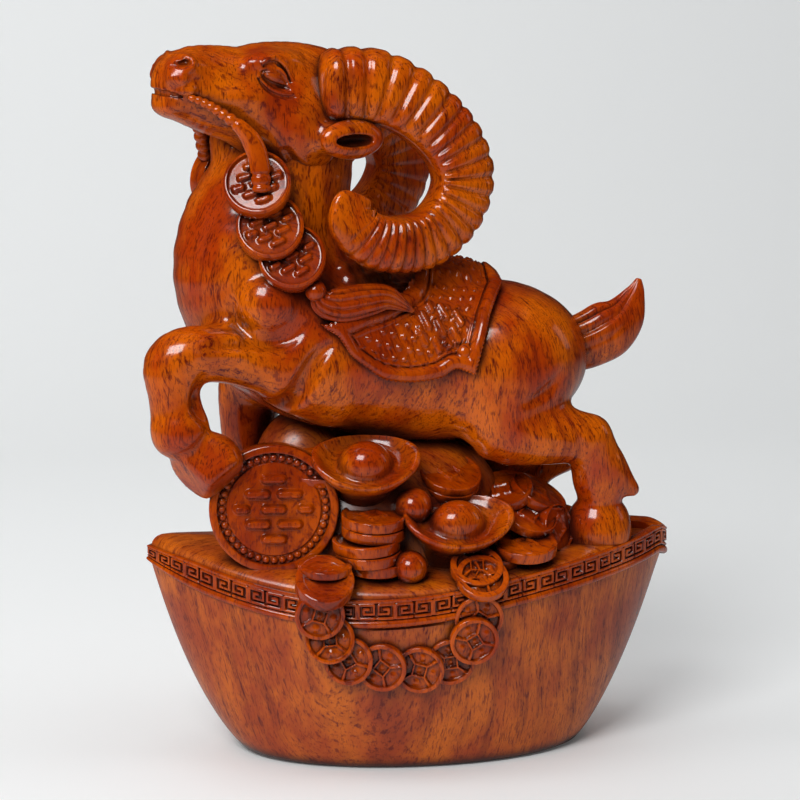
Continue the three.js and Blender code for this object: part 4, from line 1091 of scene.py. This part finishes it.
def bosses(x, y, pitch, radius):
    """Small round bosses on a staggered grid, as heights from 0 to 1."""
    row = np.round(y / pitch)
    shifted = x / pitch - 0.5 * (row % 2)
    off = np.hypot((shifted - np.round(shifted)) * pitch, y - row * pitch)
    return np.sqrt(np.clip(1 - (off / radius) ** 2, 0, 1))


def bars(x, y, rows, soft):
    """Rounded strokes, as heights from 0 to 1. A row is x, y, half length, half width and turn."""
    height = np.zeros(np.broadcast(x, y).shape)
    for x0, y0, half_length, half_width, turn in rows:
        c, s = np.cos(np.radians(turn)), np.sin(np.radians(turn))
        along, across = c * (x - x0) + s * (y - y0), -s * (x - x0) + c * (y - y0)
        off = np.hypot(np.maximum(np.abs(along) - half_length + half_width, 0), across)
        height = np.maximum(height, 1 - smooth(off, half_width - soft, half_width + soft))
    return height


def stroke_rows(half_x, half_y, pitch, half_width):
    """Rows of short strokes, each row shifted against the next, that fill a round field."""
    rows = []
    for j in range(-int(half_y / pitch), int(half_y / pitch) + 1):
        y = j * pitch
        reach = half_x * np.sqrt(max(1 - (y / half_y) ** 2, 0))
        for i in range(-8, 9):
            x = (i + 0.5 * (j % 2)) * 2.1 * pitch
            half_length = 0.8 * pitch
            if abs(x) + 0.6 * half_length < reach:
                rows.append((x, y, min(half_length, reach - abs(x)), half_width, 0))
    return rows


def trunk_axis(x):
    """Height of the trunk's middle line at a place along it."""
    line = sorted((row[0], row[2]) for row in TRUNK[:7])
    return np.interp(x, [place for place, _ in line], [height for _, height in line])


CLOTH_STROKES = stroke_rows(8.4, 9.4, 2.9, 0.85)


def cloth_shell():
    """The cloth as a patch that goes over the back from one lower edge to the other.
    A point's place along the back and its angle round the trunk are blended from the four edges. It is
    then laid on the carved body along the ray from the trunk's middle line, and lifted by the relief.
    The outermost ring is sunk, and closed by a fan to a point inside the body."""
    rows, columns = CLOTH_GRID
    s = np.concatenate([[0], np.linspace(0, 1, columns - 2), [1]])[None, :]
    t = np.concatenate([[-1], np.linspace(-1, 1, rows - 2), [1]])[:, None]
    bottom = spline(CLOTH_BOTTOM, s[0] * (len(CLOTH_BOTTOM) - 1))
    edge_x, edge_angle = bottom[:, 0], np.radians(bottom[:, 1])
    front = np.interp(np.abs(t), *zip(*CLOTH_FRONT))
    rear = np.interp(np.abs(t), *zip(*CLOTH_REAR))
    straight = (1 - s) * CLOTH_FRONT[-1][1] + s * CLOTH_REAR[-1][1]
    x = (1 - s) * front + s * rear + np.abs(t) ** 2 * (edge_x - straight)
    angle = -t * edge_angle
    way = np.stack([0 * angle, -np.sin(angle), np.cos(angle)], -1).reshape(-1, 3)
    middle = on_deck(np.stack([x, 0 * x, trunk_axis(x)], -1)).reshape(-1, 3)
    radius = np.full(len(way), CAST_FROM)
    for _ in range(CAST_STEPS):
        radius -= 0.9 * np.clip(sample(body_axes, body_field, middle + radius[:, None] * way), -3, 3)
    arc = angle * radius.reshape(angle.shape)
    plane = np.stack([x, arc], -1)
    rim = np.concatenate([plane[0], plane[-1], plane[:, 0], plane[:, -1]])[::3]
    from_edge = np.min([np.hypot(*(plane - corner).transpose(2, 0, 1)) for corner in rim], axis=0)
    border = np.sqrt(np.clip(1 - (from_edge / CLOTH_BORDER * 2 - 1) ** 2, 0, 1))
    line = 1 - smooth(np.abs(from_edge - CLOTH_BORDER - 0.7), 0.15, 0.5)
    field = smooth(from_edge, CLOTH_BORDER + 1.2, CLOTH_BORDER + 1.8)
    up = np.abs(arc)
    turn = np.radians(STROKES_LEAN)
    row_x, row_y = x - STROKES_MIDDLE[0], up - STROKES_MIDDLE[1]
    row_x, row_y = np.cos(turn) * row_x + np.sin(turn) * row_y, np.cos(turn) * row_y - np.sin(turn) * row_x
    raised = bars(row_x, row_y, CLOTH_STROKES, 0.35)
    boss = bosses(x, up, BOSS_PITCH, BOSS_RADIUS) * (1 - smooth(raised, 0.05, 0.3)) * field
    stud = np.hypot(x - STUD_PLACE[0], up - STUD_PLACE[1]) / STUD_RADIUS
    lift = CLOTH_THICK + BORDER_PROUD * border + 0.35 * line
    lift = lift + field * (1.2 * raised + 0.9 * boss) - 0.3 * field
    lift = np.maximum(lift, CLOTH_THICK + 1.6 * np.sqrt(np.clip(1 - stud ** 2, 0, 1)) * (stud < 1))
    lift[[0, -1]] = -CLOTH_FOOT
    lift[:, [0, -1]] = -CLOTH_FOOT
    points = middle + (radius + lift.ravel())[:, None] * way
    row, column = np.arange(rows - 1)[:, None] * columns, np.arange(columns - 1)
    quads = np.stack([row + column, row + column + 1, row + columns + column + 1, row + columns + column], -1)
    number = np.arange(rows * columns).reshape(rows, columns)
    loop = np.concatenate([number[0, :-1], number[:-1, -1], number[-1, :0:-1], number[:0:-1, 0]])
    fan = np.stack([loop, np.full(len(loop), rows * columns), np.roll(loop, -1)], -1)
    points = np.vstack([points, on_deck([(0, 0, trunk_axis(0))])])
    return outward(points, quads.reshape(-1, 4)[:, ::-1], fan[:, ::-1])


finish_piece(solid_object("saddle_cloth", *cloth_shell(), sharp=50), carved_wood)


# Coins on cords from the mouth
# A ribbed cord and a broad strap run from the ram's lips down its cheek, and carry three lapping coins
# on the near side and one on the far side.
STRAP_COIN_RADIUS, STRAP_COIN_THICK, STRAP_FINENESS = 9, 5, (36, 116)
STRAP_STROKES = stroke_rows(7, 7, 2.5, 0.8)


def strap_relief(x, y):
    """A plain edge, a thin raised ring, and rows of bold strokes in the sunk middle."""
    r = STRAP_COIN_RADIUS
    from_middle = np.hypot(x, y)
    ring = 0.3 * (1 - smooth(np.abs(from_middle - 0.92 * r), 0.01 * r, 0.04 * r))
    sunk = 1 - smooth(from_middle, 0.85 * r, 0.91 * r)
    return ring - sunk * (0.8 - 1.1 * bars(x, y, STRAP_STROKES, 0.45))


STRAP_COINS = [
    ((-43.2, -19.4, 103.9), (-0.16, -0.85, 0.46), 0.35), ((-40.1, -20.4, 92.4), (-0.1, -0.85, 0.44), 0.45),
    ((-34.4, -21.4, 84.4), (-0.1, -0.85, 0.44), 0.55), ((-50, 13, 102.4), (-0.8, 1, 0.2), 0.2),
]
coins = []
for at, facing, spin in STRAP_COINS:
    size = (STRAP_COIN_RADIUS, STRAP_COIN_THICK)
    coins.append(laid_coin(on_deck(at), facing, spin, size, strap_relief, STRAP_FINENESS))
finish_piece(solid_object("mouth_coins", *merged(coins)), carved_wood)
NEAR_CORD = [
    (-61.2, -21.2, 127.6, 0.9, 0.9), (-58, -21, 126.4, 1.2, 1.2), (-54.8, -21.1, 124.6, 1.4, 1.3),
    (-51.5, -21.2, 122.4, 1.6, 1.5), (-47.5, -21.6, 119.2, 2, 1.8), (-44.6, -21.8, 115.2, 2.7, 1.9),
    (-43, -22.4, 110, 2.7, 1.9), (-42.6, -23.6, 103.2, 2.6, 1.8),
]
FAR_CORD = [(-58, -1, 124, 1.4, 1.4), (-56, 4, 117, 2.2, 2.2), (-53.4, 9, 108, 2.8, 2.8)]
CORD_TURNS, CORD_RIB, CORD_PLAIN_FROM = 14, 0.22, 0.56


def cord_section(_, share):
    """Round, with turns of twine as ribs along the thin stretch, and two rings cut near the strap's end."""
    twined = np.clip((CORD_PLAIN_FROM - share) / 0.05, 0, 1)
    ribs = CORD_RIB * np.abs(np.cos(np.pi * CORD_TURNS * share)) ** 3 * twined
    rings = 0.16 * (np.exp(-((share - 0.92) / 0.01) ** 2) + np.exp(-((share - 0.975) / 0.01) ** 2))
    return 1 - ribs - rings


def far_section(_, share):
    """Round, with turns of twine all the way along, half as many as on the near cord."""
    return 1 - CORD_RIB * np.abs(np.cos(np.pi * 0.5 * CORD_TURNS * share)) ** 3


cords = [swept(NEAR_CORD, on_deck, 260, 24, cord_section), swept(FAR_CORD, on_deck, 200, 24, far_section)]
finish_piece(solid_object("mouth_cords", *merged(cords), sharp=70), carved_wood)


# Tassel
# A round knob under the lowest coin, and a plume of strands that sweeps back over the cloth.
BALL_ROWS, BALL_SIDES = 24, 40


def ball(centre, radius):
    """A closed sphere."""
    up = np.linspace(0, np.pi, BALL_ROWS + 2)[1:-1, None]
    turn = np.linspace(0, 2 * np.pi, BALL_SIDES, endpoint=False)[None, :]
    shape = np.broadcast_arrays(np.sin(up) * np.cos(turn), np.sin(up) * np.sin(turn), -np.cos(up))
    rings = np.asarray(centre) + radius * np.stack(shape, -1)
    return skin(rings, np.asarray(centre) - (0, 0, radius), np.asarray(centre) + (0, 0, radius))


KNOB_PLACE, KNOB_RADIUS = (-28.4, -23.4, 75.8), 2.9
PLUME = [
    (-28.4, -22.8, 75.4, 1.8, 2), (-26, -22.6, 72.6, 3.8, 3), (-21.5, -22.4, 71.6, 4.8, 3.4),
    (-15, -22, 72.6, 4.6, 3.2), (-9, -21, 73, 3.4, 2.6), (-4, -20, 70.6, 1.6, 1.4),
    (-1.6, -19.6, 69, 0.5, 0.5),
]


def plume_section(angle, share):
    """Strands as grooves along the plume, that turn a little round it."""
    return 1 - 0.16 * (0.5 + 0.5 * np.cos(11 * angle + 2.2 * share)) ** 3


tassel = [ball(on_deck(KNOB_PLACE), KNOB_RADIUS), swept(PLUME, on_deck, 120, 110, plume_section)]
finish_piece(solid_object("tassel", *merged(tassel), sharp=60), carved_wood)


# Big coin
# The coin under the raised hoof stands on its edge in the deck. It has a plain rim, a ring of beads and
# a smooth field with rows of short strokes.
BIG_COIN_RADIUS, BIG_COIN_THICK, BIG_COIN_EDGE, BIG_COIN_BEADS = 17.5, 7, 0.6, 40
BIG_COIN_PLACE, BIG_COIN_FACING, BIG_COIN_FINENESS = (-39.4, -18.4, 16.1), (-0.12, -1, 0.06), (80, 330)
BIG_COIN_STROKES = stroke_rows(10.6, 10.6, 4.1, 1.05)


def big_coin_relief(x, y):
    """Rim, a channel with beads in it, and a field with rows of strokes."""
    r = BIG_COIN_RADIUS
    from_middle, angle = np.hypot(x, y), np.arctan2(y, x)
    rim = smooth(from_middle, 0.855 * r, 0.885 * r)
    field = 1 - smooth(from_middle, 0.715 * r, 0.745 * r)
    turn = angle / (2 * np.pi) * BIG_COIN_BEADS
    off = np.hypot((turn - np.round(turn)) * 2 * np.pi / BIG_COIN_BEADS * 0.8 * r, from_middle - 0.8 * r)
    bead = np.sqrt(np.clip(1 - (off / (0.056 * r)) ** 2, 0, 1))
    low = -1.1 * (1 - rim) + 0.5 * field
    return low + 0.85 * bead + 1.7 * bars(x, y, BIG_COIN_STROKES, 0.5)


big_coin = laid_coin(on_deck(BIG_COIN_PLACE), BIG_COIN_FACING, 0, (BIG_COIN_RADIUS, BIG_COIN_THICK),
                     big_coin_relief, BIG_COIN_FINENESS, BIG_COIN_EDGE)
finish_piece(solid_object("big_coin", *big_coin), carved_wood)


# Pile of treasure
# Small ingots, stacked and scattered coins and round beads, on mounds that fill the space under the ram.
# A pile coin is its middle, its facing and its size against PILE_COIN_RADIUS. A small ingot is its middle,
# its length, width and height, and its turn and its tip towards the near side in degrees.
PILE_COIN_RADIUS, PILE_COIN_THICK, PILE_COIN_SPIN, PILE_FINENESS = 9.4, 3, 0.5, (22, 72)


def small_ingot(at, length, width, height, turn, tip):
    """A boat with a broad sloping rim, and a domed middle: a profile round an oval whose ends rise."""
    angle = np.linspace(0, 2 * np.pi, 96, endpoint=False)
    profile = [
        (0.56, 0.64, -0.5), (0.6, 0.7, 0.1), (0.76, 0.82, 0.45), (0.92, 0.95, 0.7), (0.99, 0.99, 0.84),
        (1.01, 1.01, 0.93), (0.99, 0.99, 1.02), (0.95, 0.95, 1.05), (0.86, 0.9, 1), (0.74, 0.84, 0.93),
        (0.62, 0.74, 0.9), (0.54, 0.67, 0.91), (0.51, 0.63, 0.95), (0.48, 0.59, 1.08), (0.42, 0.52, 1.28),
        (0.33, 0.41, 1.44), (0.22, 0.28, 1.55), (0.11, 0.14, 1.61),
    ]
    rings = []
    for along, across, level in profile:
        rise = 0.3 * height * smooth(along, 0.6, 1.0) * np.cos(angle) ** 2
        rings.append(np.stack([along * length / 2 * np.cos(angle), across * width / 2 * np.sin(angle),
                               level * height + rise], -1))
    points, quads, triangles = skin(np.array(rings), (0, 0, -0.5 * height), (0, 0, 1.63 * height))
    a, b = np.radians(tip), np.radians(turn)
    x, y, z = points.T
    y, z = y * np.cos(a) - z * np.sin(a), y * np.sin(a) + z * np.cos(a)
    x, y = x * np.cos(b) - y * np.sin(b), x * np.sin(b) + y * np.cos(b)
    return np.stack([x, y, z], -1) + on_deck(at), quads, triangles


INGOTS = [
    ((-14.4, -16, 21), 29.5, 20.4, 9, -4, 35), ((9.4, -21.4, 4.8), 30.5, 20, 9, 3, 33),
    ((0, 22, 14), 28, 19, 9, 8, -20),
]
ingots = [small_ingot(*row) for row in INGOTS]
finish_piece(solid_object("small_ingots", *merged(ingots), sharp=60), figure_wood)


def plain_relief(x, y):
    """A raised rim and a small raised square."""
    r = PILE_COIN_RADIUS
    square = np.maximum(np.abs(x), np.abs(y))
    rim = smooth(np.hypot(x, y), 0.8 * r, 0.86 * r)
    raised = np.maximum(rim, 1 - smooth(np.abs(square - 0.24 * r), 0.03 * r, 0.08 * r))
    return -0.6 * (1 - raised)


PILE_COINS = [
    ((-13, -24.6, 13.6), (0, -0.14, 1), 0.95), ((-13.2, -25, 10.5), (0.03, -0.14, 1), 0.93),
    ((-15.4, -26.4, 7.2), (-0.04, -0.1, 1), 0.98), ((-15, -26.8, 4.1), (-0.02, -0.1, 1), 0.96),
    ((-12.6, -27, 1.2), (0, -0.08, 1), 0.85),
    ((9.6, -13.6, 22.6), (0.1, -0.45, 0.9), 0.93), ((9.4, -13.2, 20), (0.1, -0.42, 0.9), 0.9),
    ((24.5, -11, 16.4), (-0.25, -0.35, 1), 0.95),
    ((34.8, -10, 15.2), (0.5, -0.3, 1), 0.9), ((30.6, -18, 11), (0.3, -0.5, 1), 0.85),
    ((28.1, -26, 4.6), (0, -0.2, 1), 0.95), ((38.6, -17, 7.2), (0.9, -0.9, 0.3), 0.7),
    ((20, -24, 3), (0.1, -0.3, 1), 0.9), ((1, -15, 17), (0, -0.5, 1), 1),
    ((-26.4, -12, 27.4), (-0.1, -0.4, 1), 1.25), ((42, 2, 6.4), (0.2, -0.1, 1), 1),
    ((-22, 20, 12), (-0.2, 0.6, 1), 1), ((24, 21, 7), (0.1, 0.5, 1), 1), ((8, 19, 20), (0.1, 0.5, 1), 0.95),
    ((-36, 12, 8), (-0.5, 0.4, 1), 0.9), ((35, 12, 6), (0.4, 0.3, 1), 0.95),
]
coins = []
for at, facing, share in PILE_COINS:
    size = (PILE_COIN_RADIUS * share, PILE_COIN_THICK)
    coins.append(laid_coin(on_deck(at), facing, PILE_COIN_SPIN, size, plain_relief, PILE_FINENESS))
finish_piece(solid_object("pile_coins", *merged(coins)), carved_wood)
BEADS = [((-2.1, -23.5, 16.3), 5.1), ((-2, 25, 9), 5), ((-4.15, -31.5, 1.3), 4.6)]
beads = [ball(on_deck(at), radius) for at, radius in BEADS]
finish_piece(solid_object("beads", *merged(beads), sharp=60), figure_wood)
MOUND, MOUND_JOIN, MOUND_STEP = ((-8, 0, 2), (37, 24, 30.5)), 3, 1.1
SIDE_MOUNDS = [((24, 0, 0), (26, 21, 13)), ((8, 0, 0), (21, 20, 31)), ((-28, 2, 20), (15, 11, 20))]
mound_axes = lattice((-50, -32, 50), (56, 32, 105), MOUND_STEP)
mound = egg(mound_axes, *MOUND)
for at, radii in SIDE_MOUNDS:
    mound = blend(mound, egg(mound_axes, at, radii), MOUND_JOIN)
finish_piece(solid_object("mounds", *skin_of(mound_axes, mound), sharp=180), hull_wood)
